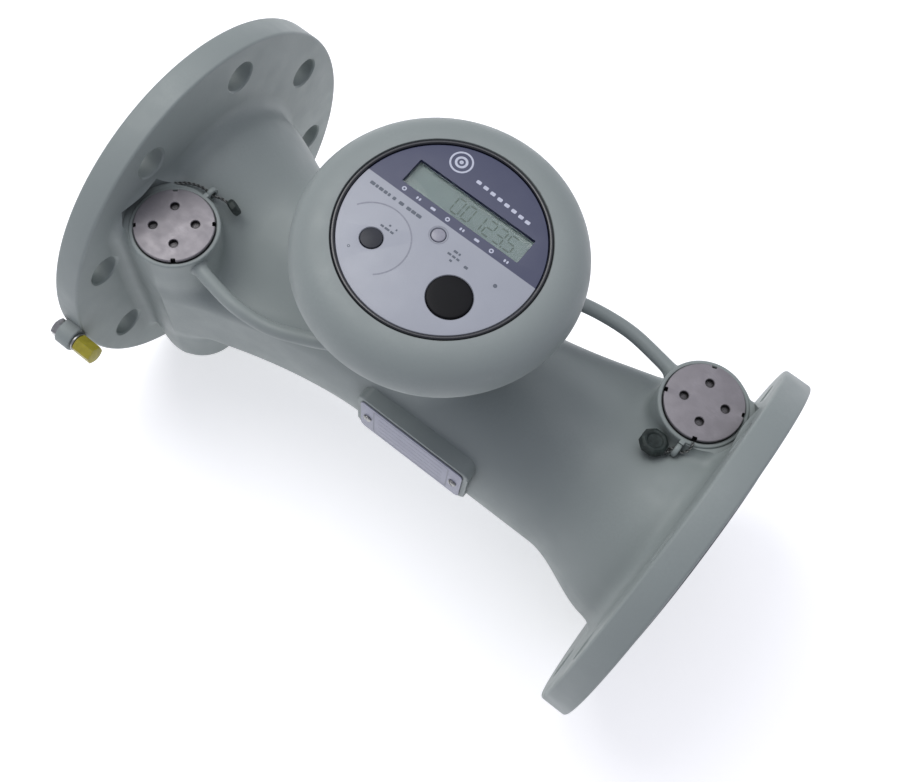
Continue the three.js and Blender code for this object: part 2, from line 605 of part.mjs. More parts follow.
// ---------------------------------------------------------------- head: housing
const onHead = (g) => g.translate(HEAD_X, 0, 0);

function baseCurve(inset) {
  const points = [];
  const steps = 6;
  for (let i = 0; i <= steps; i += 1) {
    const a = (Math.PI / 2) * (i / steps);
    const r = BASE_NECK_R + (BASE_RIM_R - BASE_NECK_R) * Math.sin(a);
    const z = BASE_NECK_TOP + (BASE_RIM_Z - BASE_NECK_TOP) * (1 - Math.cos(a));
    points.push([r - inset, z + inset * 0.4 * (1 - i / steps)]);
  }
  return points;
}

function headBase() {
  const outline = [[0, BASE_BOTTOM_Z], [BASE_NECK_R, BASE_BOTTOM_Z], ...baseCurve(0),
    [BASE_RIM_R, BASE_RIM_Z + 2], [BASE_RIM_R - BASE_WALL, BASE_RIM_Z + 2],
    ...baseCurve(BASE_WALL).reverse(), [BASE_INNER_R, BASE_FLOOR_Z], [0, BASE_FLOOR_Z]];
  let base = solid(onHead(turned(outline, 48)));
  for (const a of POST_ANGLES) {
    const x = HEAD_X + POST_AT_R * Math.cos(rad(a));
    const y = POST_AT_R * Math.sin(rad(a));
    base = join(base, solid(rod(POST_R, BASE_FLOOR_Z - 1, BOARD_Z - GAP, 16).translate(x, y, 0)));
    base = cut(base, solid(rod(1.7, BOARD_Z - 12, BOARD_Z + 1, 12).translate(x, y, 0)));
  }
  for (const end of ENDS) {
    const out = glandDirection(end);
    const from = HEAD.clone().addScaledVector(out, BASE_INNER_R - 8).setZ(GLAND_Z);
    base = cut(base, solid(aim(rod(TUBE_R - 1, 0, 20, 16), from, out)));
  }
  for (const at of BASE_SCREWS) {
    base = cut(base, solid(rod(2 + GAP, BASE_BOTTOM_Z - 1, BASE_FLOOR_Z + 1, 16).translate(at.x, at.y, 0)));
  }
  return base;
}

function bezelOutline() {
  const crown = RING_OUT_R + 0.6;
  const upper = [];
  const power = 2 / 2.2;
  for (let i = 0; i <= 8; i += 1) {
    const a = (Math.PI / 2) * (i / 8);
    upper.push([crown + (BEZEL_R - crown) * Math.cos(a) ** power,
      BEZEL_MID_Z + (BEZEL_TOP_Z - BEZEL_MID_Z) * Math.sin(a) ** power]);
  }
  const lower = [];
  for (let i = 0; i < 4; i += 1) {
    lower.push([BASE_RIM_R + (BEZEL_R - BASE_RIM_R) * (i / 4) ** 0.9,
      BEZEL_BOTTOM_Z + (BEZEL_MID_Z - BEZEL_BOTTOM_Z) * (i / 4)]);
  }
  const inner = RING_OUT_R + GAP;
  return [...lower, ...upper, [inner, BEZEL_TOP_Z - 0.4], [inner, LEDGE_TOP_Z], [LEDGE_R, LEDGE_TOP_Z],
    [LEDGE_R, LEDGE_TOP_Z - LEDGE_T], [LEDGE_R + 10, LEDGE_TOP_Z - LEDGE_T - 1], [BEZEL_R - 2 * BEZEL_WALL,
      BEZEL_MID_Z + 3], [BASE_RIM_R - BASE_WALL, BEZEL_BOTTOM_Z], [BASE_RIM_R, BEZEL_BOTTOM_Z]];
}

function baseGasket() {
  let g = solid(onHead(ring(PEDESTAL_R - 14, PEDESTAL_R - 1, BASE_GASKET_Z, BASE_GASKET_Z + BASE_GASKET_T)));
  for (const at of BASE_SCREWS) {
    g = cut(g, solid(rod(2 + GAP, PEDESTAL_TOP - 1, BASE_BOTTOM_Z + 1, 16).translate(at.x, at.y, 0)));
  }
  return g;
}

add('head_base_gasket', baseGasket(), RUBBER);
add('head_base', headBase(), PAINT);
BASE_SCREWS.forEach((at, i) => {
  const under = BASE_FLOOR_Z + GAP;
  const outline = [[0, PEDESTAL_TOP - 8], [2, PEDESTAL_TOP - 8], [2, under], [3.6, under], [3.6, under + 2.4],
    [0, under + 2.4]];
  add(`head_base_screw_${i + 1}`, turned(outline, 16).translate(at.x, at.y, 0), STEEL);
});
add('head_bezel_gasket', onHead(ring(BASE_RIM_R - BASE_WALL + 0.4, BASE_RIM_R - 0.6, BEZEL_GASKET_Z,
  BEZEL_GASKET_Z + 1)), RUBBER);
add('head_bezel', onHead(turned(bezelOutline(), 60)), PAINT);
add('dial_ring', onHead(turned([[RING_IN_R, LEDGE_TOP_Z + GAP], [RING_OUT_R, LEDGE_TOP_Z + GAP],
  [RING_OUT_R, RING_TOP_Z - 0.5], [RING_OUT_R - 0.5, RING_TOP_Z], [RING_IN_R + 0.5, RING_TOP_Z],
  [RING_IN_R, RING_TOP_Z - 0.5], [RING_IN_R, LEDGE_TOP_Z + GAP]], 60)), BLACK);

// ---------------------------------------------------------------- head: dial, display and button
const atHead = ([x, y]) => [HEAD_X + x, y];
const [buttonX, buttonY] = atHead(BUTTON_AT);
const [portX, portY] = atHead(PORT_AT);
const [lampX, lampY] = atHead(LAMP_AT);
const displayX = LCD_X.map((x) => HEAD_X + x);

function dialPlate() {
  const disc = solid(onHead(rod(RING_IN_R - GAP, DIAL_BOTTOM_Z, DIAL_TOP_Z, 64)));
  const through = [DIAL_BOTTOM_Z - 1, DIAL_TOP_Z + 1];
  return cut(disc,
    solid(box(displayX, LCD_Y, through)),
    solid(rod(BUTTON_R + GAP, ...through, 40).translate(buttonX, buttonY, 0)),
    solid(rod(PORT_R + GAP, ...through, 32).translate(portX, portY, 0)),
    solid(rod(LAMP_R + GAP, ...through, 24).translate(lampX, lampY, 0)));
}
add('dial_plate', dialPlate(), DIAL);

const inset = (range, by) => [range[0] + by, range[1] - by];
const screenTop = DIAL_BOTTOM_Z + 0.8;
add('display_window', box(inset(displayX, GAP), inset(LCD_Y, GAP), [screenTop + GAP, screenTop + GAP + 1.2]), CLEAR);
const moduleFrom = BOARD_Z + BOARD_T + GAP;
const moduleStep = LEDGE_TOP_Z - LEDGE_T - 2.2;
add('display_module', join(
  solid(box(inset(displayX, -LCD_BORDER), [LCD_Y[0] - 3, LCD_Y[1] + LCD_BORDER], [moduleFrom, moduleStep])),
  solid(box(inset(displayX, GAP), inset(LCD_Y, GAP), [moduleStep - 1, screenTop])),
), DISPLAY);

function displayButton() {
  const top = DIAL_TOP_Z + BUTTON_PROUD;
  const stop = DIAL_BOTTOM_Z - 0.5;
  const stemEnd = moduleFrom + 2.9 + BUTTON_TRAVEL + GAP;
  const outline = [[0, stemEnd], [BUTTON_STEM_R, stemEnd], [BUTTON_STEM_R, stop - 1.6], [BUTTON_R + 1.4, stop - 1.6],
    [BUTTON_R + 1.4, stop], [BUTTON_R, stop], [BUTTON_R, top - 0.8], [BUTTON_R - 0.8, top], [0, top]];
  return turned(outline, 32).translate(buttonX, buttonY, 0);
}
add('display_button', displayButton(), BLACK);

function buttonSpring() {
  const from = moduleFrom + 0.5;
  const to = DIAL_BOTTOM_Z - 0.5 - 1.6 - GAP - 0.5;
  const turns = 4;
  const points = [];
  for (let i = 0; i <= turns * 10; i += 1) {
    const a = (2 * Math.PI * i) / 10;
    points.push(V(buttonX + 6.2 * Math.cos(a), buttonY + 6.2 * Math.sin(a), from + ((to - from) * i) / (turns * 10)));
  }
  return bar(points, 0.4, 6, turns * 10);
}
add('button_spring', buttonSpring(), STEEL);
add('button_switch', box([buttonX - 3.5, buttonX + 3.5], [buttonY - 3.5, buttonY + 3.5],
  [moduleFrom, moduleFrom + 2.9]), BLACK);
add('optical_window', rod(PORT_R, moduleFrom + 4, DIAL_TOP_Z + 0.3, 32).translate(portX, portY, 0), BLACK);
add('optical_sensor', box([portX - 2.5, portX + 2.5], [portY - 2.5, portY + 2.5], [moduleFrom, moduleFrom + 3.7]), BLACK);
add('lamp_window', rod(LAMP_R, DIAL_BOTTOM_Z, DIAL_TOP_Z, 24).translate(lampX, lampY, 0), CLEAR);

// ---------------------------------------------------------------- head: inside
function circuitBoard() {
  let board = solid(onHead(rod(BOARD_R, BOARD_Z, BOARD_Z + BOARD_T, 48)));
  for (const a of POST_ANGLES) {
    board = cut(board, solid(rod(1.7, BOARD_Z - 1, BOARD_Z + BOARD_T + 1, 12)
      .translate(HEAD_X + POST_AT_R * Math.cos(rad(a)), POST_AT_R * Math.sin(rad(a)), 0)));
  }
  return board;
}
add('circuit_board', circuitBoard(), BOARD);
POST_ANGLES.forEach((a, i) => {
  const under = BOARD_Z + BOARD_T + GAP;
  const outline = [[0, BOARD_Z - 10], [1.4, BOARD_Z - 10], [1.4, under], [2.8, under], [2.8, under + 1.8],
    [0, under + 1.8]];
  add(`board_screw_${i + 1}`, turned(outline, 12)
    .translate(HEAD_X + POST_AT_R * Math.cos(rad(a)), POST_AT_R * Math.sin(rad(a)), 0), STEEL);
});

const battery = () => rod(BATTERY_R, -BATTERY_LEN / 2, BATTERY_LEN / 2, 28).rotateY(Math.PI / 2);
add('battery', battery().translate(HEAD_X, 0, BATTERY_Z), PLASTIC);
const cradleFloor = BASE_FLOOR_Z + 2.4 + GAP + 1;
const cradle = solid(box([HEAD_X - 18, HEAD_X + 18], [-11, 11], [cradleFloor, BATTERY_Z - 6]));
const trough = solid(rod(BATTERY_R + GAP, -BATTERY_LEN, BATTERY_LEN, 28).rotateY(Math.PI / 2)
  .translate(HEAD_X, 0, BATTERY_Z));
add('battery_holder', cut(cradle, trough), PLASTIC);

export default part;
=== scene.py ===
"""Flanged ultrasonic flow meter with a round display head: the visual model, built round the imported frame."""
import math

import bmesh
import bpy
import numpy as np
from mathutils import Matrix, Vector


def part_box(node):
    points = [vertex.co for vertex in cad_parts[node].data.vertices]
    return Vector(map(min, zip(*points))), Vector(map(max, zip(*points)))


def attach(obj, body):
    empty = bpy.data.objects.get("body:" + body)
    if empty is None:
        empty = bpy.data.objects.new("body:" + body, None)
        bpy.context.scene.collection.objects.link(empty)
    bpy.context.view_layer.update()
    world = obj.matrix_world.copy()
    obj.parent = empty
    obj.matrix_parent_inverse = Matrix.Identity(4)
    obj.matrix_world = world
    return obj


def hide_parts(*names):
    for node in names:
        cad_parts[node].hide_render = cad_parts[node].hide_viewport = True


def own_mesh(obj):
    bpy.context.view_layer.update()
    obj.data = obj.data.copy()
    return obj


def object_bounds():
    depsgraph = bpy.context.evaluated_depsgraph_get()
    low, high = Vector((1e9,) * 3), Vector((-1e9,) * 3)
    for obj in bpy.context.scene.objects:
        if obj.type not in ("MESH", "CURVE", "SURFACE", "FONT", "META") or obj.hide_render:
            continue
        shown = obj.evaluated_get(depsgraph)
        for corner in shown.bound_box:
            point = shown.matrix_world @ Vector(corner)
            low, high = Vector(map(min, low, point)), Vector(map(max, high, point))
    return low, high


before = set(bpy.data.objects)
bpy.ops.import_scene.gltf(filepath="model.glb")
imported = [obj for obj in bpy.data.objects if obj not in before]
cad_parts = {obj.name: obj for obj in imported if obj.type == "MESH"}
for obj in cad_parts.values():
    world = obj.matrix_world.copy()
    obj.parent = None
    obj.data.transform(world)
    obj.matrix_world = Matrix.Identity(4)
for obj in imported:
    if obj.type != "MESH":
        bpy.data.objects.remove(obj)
CAD_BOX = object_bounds()

MM = 0.001
GAP = 0.3                # clearance between touching pieces, in millimetres like every size below


def extent(node):
    """Lowest and highest corner of a frame node, in millimetres."""
    low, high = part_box(node)
    return np.array(low) / MM, np.array(high) / MM


# ---------------------------------------------------------------- sizes, from the frame where it has them
BODY_HIGH = extent("body_casting")[1]
HALF = BODY_HIGH[0]                      # half the length over the raised faces
FLANGE_R = BODY_HIGH[2]
RAISED_T = 3
FLANGE_T = 16
RAISED_R = 79
FLANGE_OUT = HALF - RAISED_T
FLANGE_IN = FLANGE_OUT - FLANGE_T
BOLT_CIRCLE_R = 90
BOLT_HOLE_R = 9
BOLT_COUNT = 8
MOUTH_R = 50
THROAT_R = 39

CAP_LOW, CAP_HIGH = extent("outlet_cap")
CAP_R = (CAP_HIGH[0] - CAP_LOW[0]) / 2
CAP_SEAT_Z, CAP_TOP_Z = CAP_LOW[2], CAP_HIGH[2]
BOSS_X, BOSS_Y = (CAP_LOW[:2] + CAP_HIGH[:2]) / 2
BEAM = math.atan2(BOSS_Y, BOSS_X)        # turn of the sound path from the pipe axis
BOSS_R = 24
BOSS_TOP = 63
BOSS_BOTTOM = -62
BOSS_ROUND = 5
POCKET_R = 17
POCKET_BOTTOM = -20
COUNTERBORE_Z = extent("outlet_cap_gasket")[0][2] - GAP
CAP_TURN = {"inlet": 40.5, "outlet": 19}
PIN_CIRCLE_R = 11
PIN_R = 2.4
PIN_DEPTH = 2.4
NOTCH_W = 2.6
NOTCH_DEPTH = 1.6

WAIST_R = 47.8
NECK_END_R = 62.4
NECK_FLARE = 55
CHANNEL_HALF = 28.3
CHANNEL_TOP = 30
CHANNEL_BOTTOM = -27
CHANNEL_ROUND = 9
WEB_OUT = 19
WEB_IN = 21
WEB_TOP = BOSS_TOP - 5
CAST_FILLET = 9                          # blend between the cast shapes

BEZEL_LOW, BEZEL_HIGH = extent("head_bezel")
HEAD_X = (BEZEL_LOW[0] + BEZEL_HIGH[0]) / 2
BEZEL_R = (BEZEL_HIGH[0] - BEZEL_LOW[0]) / 2
BEZEL_BOTTOM_Z, BEZEL_TOP_Z = BEZEL_LOW[2], BEZEL_HIGH[2]
BEZEL_MID_Z = 127.5
RING_LOW, RING_HIGH = extent("dial_ring")
RING_OUT_R = (RING_HIGH[0] - RING_LOW[0]) / 2
RING_IN_R = RING_OUT_R - 2
DIAL_LOW, DIAL_HIGH = extent("dial_plate")
DIAL_R = (DIAL_HIGH[0] - DIAL_LOW[0]) / 2
DIAL_Z = DIAL_HIGH[2]
LEDGE_R = 46
LEDGE_T = 2.2
BASE_LOW, BASE_HIGH = extent("head_base")
BASE_RIM_R = (BASE_HIGH[0] - BASE_LOW[0]) / 2
BASE_NECK_R = 40
BASE_NECK_TOP = 72
BASE_WALL = 3.5
PEDESTAL_R = 36
PEDESTAL_TOP = 53

TUBE_R = 3.9
TUBE_Z = 55
TUBE_BULGE_Y = 60.2
GLAND_TURN = math.radians(57)
GLAND_Z = BASE_LOW[2] + TUBE_R + 1.2

LUG_R = 4
LUG_T = 3
LUG_HOLE_R = 2
LUG_SHIFT = {"inlet": 0, "outlet": 3}
ENDS = {"inlet": -1, "outlet": 1}        # sign of each end's X, and of its boss's Y


# ---------------------------------------------------------------- shapes: (vertices, faces), in millimetres
def unit(v):
    return v / np.linalg.norm(v)


def outward(verts, faces):
    """The shape with its faces turned outwards."""
    verts = np.asarray(verts, float)
    volume = 0.0
    for f in faces:
        for i in range(1, len(f) - 1):
            volume += np.dot(verts[f[0]], np.cross(verts[f[i]], verts[f[i + 1]]))
    return (verts, [f[::-1] for f in faces]) if volume < 0 else (verts, faces)


def filleted(corners, steps=4):
    """Points of an outline given as (u, v, radius) corners, with each corner rounded to its radius."""
    points = []
    for i, (u, v, radius) in enumerate(corners):
        here = np.array((u, v), float)
        if not radius:
            points.append(tuple(here))
            continue
        before = unit(np.array(corners[i - 1][:2]) - here)
        after = unit(np.array(corners[(i + 1) % len(corners)][:2]) - here)
        half = math.acos(np.clip(before @ after, -1, 1)) / 2
        centre = here + unit(before + after) * radius / math.sin(half)
        ends = [here + d * radius / math.tan(half) - centre for d in (before, after)]
        first, last = (math.atan2(e[1], e[0]) for e in ends)
        sweep = (last - first + math.pi) % (2 * math.pi) - math.pi
        for k in range(steps + 1):
            a = first + sweep * k / steps
            points.append((centre[0] + radius * math.cos(a), centre[1] + radius * math.sin(a)))
    return points


def revolve(profile, segments=96):
    """A solid of revolution about Z from a closed (radius, z) profile."""
    turn = np.linspace(0, 2 * math.pi, segments, endpoint=False)
    verts, rows = [], []
    for r, z in profile:
        if r < 1e-6:
            rows.append([len(verts)] * segments)
            verts.append((0, 0, z))
        else:
            rows.append(list(range(len(verts), len(verts) + segments)))
            verts.extend(zip(r * np.cos(turn), r * np.sin(turn), np.full(segments, z)))
    faces = []
    for i, row in enumerate(rows):
        following = rows[(i + 1) % len(rows)]
        for s in range(segments):
            t = (s + 1) % segments
            face = list(dict.fromkeys((row[s], row[t], following[t], following[s])))
            if len(face) > 2:
                faces.append(face)
    return outward(verts, faces)


def prism(outline, low, high, bevel=0.0, segments=3):
    """An outline pulled up from low to high, with the edges of both ends rounded."""
    bm = bmesh.new()
    rings = [[bm.verts.new((u, v, z)) for u, v in outline] for z in (low, high)]
    ends = [bm.faces.new(rings[0][::-1]), bm.faces.new(rings[1])]
    for i in range(len(outline)):
        bm.faces.new((rings[0][i - 1], rings[0][i], rings[1][i], rings[1][i - 1]))
    if bevel:
        edges = [e for f in ends for e in f.edges]
        bmesh.ops.bevel(bm, geom=edges, offset=bevel, segments=segments, profile=0.5, affect="EDGES")
    bm.verts.index_update()
    shape = [tuple(v.co) for v in bm.verts], [[v.index for v in f.verts] for f in bm.faces]
    bm.free()
    return outward(*shape)


def rectangle(u, v, radius=0.0, steps=6):
    corners = [(u[0], v[0]), (u[1], v[0]), (u[1], v[1]), (u[0], v[1])]
    return filleted([(a, b, radius) for a, b in corners], steps)


def rod(radius, low, high, bevel=0.0, segments=64):
    corners = [(0, low, 0), (radius, low, bevel), (radius, high, bevel), (0, high, 0)]
    return revolve(filleted(corners, 3), segments)


def moved(shape, x=0, y=0, z=0):
    return shape[0] + np.array((x, y, z)), shape[1]


def spun(shape, angle, axis="Z"):
    turn = np.array(Matrix.Rotation(angle, 3, axis))
    return shape[0] @ turn.T, shape[1]


def along_x(shape):
    """What was made along +Z, laid along +X."""
    return spun(shape, math.pi / 2, "Y")


def aimed(shape, start, direction):
    """What was made along +Z from the origin, moved to start and turned to a direction."""
    turn = np.array(Vector((0, 0, 1)).rotation_difference(Vector(direction)).to_matrix())
    return shape[0] @ turn.T + np.array(start), shape[1]


def together(*shapes):
    verts, faces, offset = [], [], 0
    for v, f in shapes:
        verts.append(v)
        faces.extend([i + offset for i in face] for face in f)
        offset += len(v)
    return np.concatenate(verts), faces


def smooth_route(points, steps):
    """Even steps along a centripetal Catmull-Rom curve through the points."""
    points = [np.array(p, float) for p in points]
    points = [2 * points[0] - points[1], *points, 2 * points[-1] - points[-2]]
    fine = []
    for p0, p1, p2, p3 in zip(points, points[1:], points[2:], points[3:]):
        a, b, c = (math.sqrt(np.linalg.norm(q - p)) for p, q in ((p0, p1), (p1, p2), (p2, p3)))
        start = ((p1 - p0) / a - (p2 - p0) / (a + b) + (p2 - p1) / b) * b
        end = ((p2 - p1) / b - (p3 - p1) / (b + c) + (p3 - p2) / c) * b
        for t in np.linspace(0, 1, 24, endpoint=False):
            fine.append(p1 + t * start + t * t * (3 * (p2 - p1) - 2 * start - end)
                        + t ** 3 * (2 * (p1 - p2) + start + end))
    fine = np.array([*fine, points[-2]])
    length = np.concatenate([[0], np.cumsum(np.linalg.norm(np.diff(fine, axis=0), axis=1))])
    even = np.linspace(0, length[-1], steps + 1)
    return np.stack([np.interp(even, length, fine[:, k]) for k in range(3)], 1), even


def frames_along(route):
    """Two directions across the route at each point, turned as little as possible from point to point."""
    tangents = np.gradient(route, axis=0)
    tangents /= np.linalg.norm(tangents, axis=1)[:, None]
    side = unit(np.cross(tangents[0], (0.3, 0.2, 1.0)))
    sides = []
    for t in tangents:
        side = unit(side - t * (side @ t))
        sides.append(side)
    return np.array(sides), np.cross(tangents, sides)


def tube(route, radius, sides=24):
    """A round bar along a route; radius is a number or one for each point."""
    radius = np.broadcast_to(radius, len(route))
    across, over = frames_along(route)
    turn = np.linspace(0, 2 * math.pi, sides, endpoint=False)
    verts = (route[:, None] + radius[:, None, None]
             * (across[:, None] * np.cos(turn)[None, :, None] + over[:, None] * np.sin(turn)[None, :, None]))
    faces = []
    for i in range(len(route) - 1):
        for s in range(sides):
            t = (s + 1) % sides
            faces.append([i * sides + s, i * sides + t, (i + 1) * sides + t, (i + 1) * sides + s])
    last = (len(route) - 1) * sides
    faces.append(list(range(sides))[::-1])
    faces.append([last + s for s in range(sides)])
    return outward(verts.reshape(-1, 3), faces)


# ---------------------------------------------------------------- pieces
def new_object(name, verts, faces):
    """A mesh object in the scene, with its vertices as they are given."""
    mesh = bpy.data.meshes.new(name)
    mesh.from_pydata([tuple(v) for v in verts], [], faces)
    obj = bpy.data.objects.new(name, mesh)
    bpy.context.scene.collection.objects.link(obj)
    return obj


def piece(name, shape, finish, body="meter", stands_for=(), sharp=35):
    """A named piece of the object from a shape, riding on a body."""
    obj = new_object(name, np.asarray(shape[0]) * MM, shape[1])
    obj.data.materials.append(finish)
    shade(obj, sharp)
    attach(obj, body)
    if stands_for:
        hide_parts(*stands_for)
    return obj


def shade(obj, sharp=35):
    """Smooth shading with the edges over an angle kept sharp."""
    obj.data.polygons.foreach_set("use_smooth", np.ones(len(obj.data.polygons), bool))
    obj.data.set_sharp_from_angle(angle=math.radians(sharp))


def carved(shape, add=(), cut=()):
    """The shape joined with some solids, then cut by others."""
    target = new_object("work", *shape)
    tools = [(new_object("work", *s), "UNION") for s in add]
    tools += [(new_object("work", *s), "DIFFERENCE") for s in cut]
    for tool, operation in tools:
        step = target.modifiers.new("step", "BOOLEAN")
        step.solver = "MANIFOLD"
        step.operation = operation
        step.object = tool
    result = target.evaluated_get(bpy.context.evaluated_depsgraph_get()).to_mesh()
    verts = np.zeros(len(result.vertices) * 3)
    result.vertices.foreach_get("co", verts)
    faces = [list(p.vertices) for p in result.polygons]
    for obj in [target] + [t for t, _ in tools]:
        bpy.data.objects.remove(obj)
    return verts.reshape(-1, 3), faces


# ---------------------------------------------------------------- materials
def linear(r, g, b):
    """A colour given in 0-255 display values."""
    return tuple(((c / 255 + 0.055) / 1.055) ** 2.4 if c > 10 else c / 255 / 12.92
                 for c in (r, g, b)) + (1.0,)


class Finish:
    """A procedural material: a Principled shader whose colour, roughness and relief come from small
    node chains. Sizes of the patterns are given in millimetres."""

    def __init__(self, name, colour, roughness, metallic=0.0, coat=0.0, coat_roughness=0.1, specular=0.5,
                 transmission=0.0, ior=1.5):
        self.material = bpy.data.materials.new(name)
        self.material.use_nodes = True
        self.tree = self.material.node_tree
        self.shader = self.tree.nodes["Principled BSDF"]
        for socket, value in (("Base Color", colour), ("Roughness", roughness), ("Metallic", metallic),
                              ("Coat Weight", coat), ("Coat Roughness", coat_roughness),
                              ("Specular IOR Level", specular),
                              ("Transmission Weight", transmission), ("IOR", ior)):
            self.shader.inputs[socket].default_value = value
        self.colour = colour
        self.place = self.node("TexCoord").outputs["Object"]
        self.normal = None

    def node(self, kind, **settings):
        n = self.tree.nodes.new("ShaderNode" + kind)
        for key, value in settings.items():
            setattr(n, key, value)
        return n

    def link(self, source, target):
        self.tree.links.new(source, target)

    def math(self, operation, a, b=0.0, c=0.0):
        n = self.node("Math", operation=operation)
        for socket, value in zip(n.inputs, (a, b, c)):
            if isinstance(value, bpy.types.NodeSocket):
                self.link(value, socket)
            else:
                socket.default_value = value
        return n.outputs[0]

    def stretched(self, stretch):
        n = self.node("Mapping")
        n.inputs["Scale"].default_value = stretch
        self.link(self.place, n.inputs["Vector"])
        return n.outputs[0]

    def noise(self, size, detail=3.0, stretch=None, place=None):
        """Noise from 0 to 1 with features of about the given size."""
        n = self.node("TexNoise")
        n.inputs["Scale"].default_value = 1 / (size * MM)
        n.inputs["Detail"].default_value = detail
        source = place or (self.stretched(stretch) if stretch else self.place)
        self.link(source, n.inputs["Vector"])
        return n.outputs["Fac"]

    def ramp(self, value, low, high, out_low=0.0, out_high=1.0):
        n = self.node("MapRange")
        self.link(value, n.inputs["Value"])
        for socket, number in (("From Min", low), ("From Max", high),
                               ("To Min", out_low), ("To Max", out_high)):
            n.inputs[socket].default_value = number
        return n.outputs["Result"]

    def mixed(self, factor, colour):
        """Lays a colour over the base colour where the factor is 1."""
        n = self.node("Mix", data_type="RGBA")
        base = self.shader.inputs["Base Color"]
        if base.is_linked:
            self.link(base.links[0].from_socket, n.inputs[6])
        else:
            n.inputs[6].default_value = base.default_value
        n.inputs[7].default_value = colour
        self.link(factor, n.inputs[0])
        self.link(n.outputs[2], base)
        return self

    def mottled(self, size, amount, detail=3.0, stretch=None):
        """Makes the colour a little darker in patches."""
        dark = tuple(c * (1 - amount) for c in self.colour[:3]) + (1.0,)
        return self.mixed(self.ramp(self.noise(size, detail, stretch), 0.35, 0.65), dark)

    def rough(self, low, high, size, stretch=None):
        level = self.ramp(self.noise(size, 4.0, stretch), 0.3, 0.7, low, high)
        self.link(level, self.shader.inputs["Roughness"])
        return self

    def relief(self, height_source, height):
        """Raises the surface by height where the source is 1."""
        n = self.node("Bump")
        n.inputs["Strength"].default_value = 1.0
        n.inputs["Distance"].default_value = height * MM
        self.link(height_source, n.inputs["Height"])
        if self.normal:
            self.link(self.normal, n.inputs["Normal"])
        self.normal = n.outputs[0]
        self.link(self.normal, self.shader.inputs["Normal"])
        return self

    def grain(self, size, height, detail=2.0, stretch=None):
        return self.relief(self.noise(size, detail, stretch), height)

    def turned_marks(self, x, y, pitch, height):
        """Fine rings round an upright axis at (x, y), as a lathe leaves them."""
        shift = self.node("Mapping")
        shift.inputs["Location"].default_value = (-x * MM, -y * MM, 0)
        shift.inputs["Scale"].default_value = (1, 1, 0)
        self.link(self.place, shift.inputs["Vector"])
        radius = self.node("VectorMath", operation="LENGTH")
        self.link(shift.outputs[0], radius.inputs[0])
        along = self.node("CombineXYZ")
        self.link(radius.outputs["Value"], along.inputs[0])
        return self.relief(self.noise(pitch, 2.0, place=along.outputs[0]), height)

    def painted_corner_shade(self, reach, darkest, full=0.15, none=0.75):
        """Paints shade into inner corners and hollows, darkest where nearby surfaces hide the open sky:
        fully at an open share of full or less, and not at all at none or more."""
        n = self.node("AmbientOcclusion", samples=6)
        n.inputs["Distance"].default_value = reach * MM
        dark = tuple(c * darkest for c in self.colour[:3]) + (1.0,)
        return self.mixed(self.ramp(n.outputs["AO"], full, none, 1.0, 0.0), dark)

    def worn_edges(self, width, colour, size=3.0, share=0.5):
        """Rubs the colour off sharp edges in patches."""
        n = self.node("Bevel", samples=4)
        n.inputs["Radius"].default_value = width * MM
        geometry = self.node("NewGeometry")
        dot = self.node("VectorMath", operation="DOT_PRODUCT")
        self.link(n.outputs[0], dot.inputs[0])
        self.link(geometry.outputs["Normal"], dot.inputs[1])
        edge = self.ramp(dot.outputs["Value"], 0.97, 0.86)
        patch = self.ramp(self.noise(size, 5.0), share, share + 0.06)
        return self.mixed(self.math("MULTIPLY", edge, patch), colour)


def cap_steel(x, y):
    f = Finish("cap_steel", linear(138, 134, 138), 0.48, metallic=0.4)
    f.mottled(9, 0.16, 4.0).mottled(2.2, 0.12, 5.0, (1.0, 4.0, 1.0)).rough(0.36, 0.52, 5)
    # painted shade: darkens the pin holes, the notches and the other hollows of the cap
    f.painted_corner_shade(3.6, 0.06, 0.5, 0.85)
    return f.turned_marks(x, y, 0.45, 0.02).grain(0.9, 0.008, 3.0, (1.0, 6.0, 1.0)).material


def moulded(name, tone, roughness=0.45, mottle=0.06, height=0.02):
    f = Finish(name, linear(*tone), roughness, specular=0.5)
    f.mottled(8, mottle, 4.0).rough(roughness - 0.06, roughness + 0.08, 5)
    return f.grain(0.7, height, 3.0).material


def dial_face():
    """A printed panel: blue above the divide, pale below it."""
    divide = 6.3
    f = Finish("dial_face", linear(154, 158, 168), 0.4, coat=0.2, coat_roughness=0.2)
    f.mottled(16, 0.035, 3.0)
    split = f.node("SeparateXYZ")
    f.link(f.place, split.inputs[0])
    f.mixed(f.ramp(split.outputs["Y"], (divide - 0.05) * MM, (divide + 0.05) * MM), linear(54, 59, 88))
    f.rough(0.34, 0.44, 9)
    return f.grain(0.5, 0.006, 2.0).material


def board_green():
    f = Finish("board_green", linear(34, 96, 62), 0.4, coat=0.3)
    traces = f.node("TexBrick")
    traces.inputs["Scale"].default_value = 160
    traces.inputs["Mortar Size"].default_value = 0.035
    f.link(f.place, traces.inputs["Vector"])
    f.mixed(traces.outputs["Fac"], linear(58, 128, 84))
    return f.grain(0.5, 0.02).material


def battery_wrap():
    f = Finish("battery_wrap", linear(206, 204, 190), 0.35)
    split = f.node("SeparateXYZ")
    f.link(f.place, split.inputs[0])
    f.mixed(f.ramp(split.outputs["X"], 13 * MM, 13.2 * MM), linear(60, 90, 150))
    return f.mottled(10, 0.06).grain(3, 0.03).material


def printed(name, tone):
    f = Finish(name, linear(*tone), 0.4)
    f.mottled(1.2, 0.12)
    return f.grain(0.3, 0.004).material


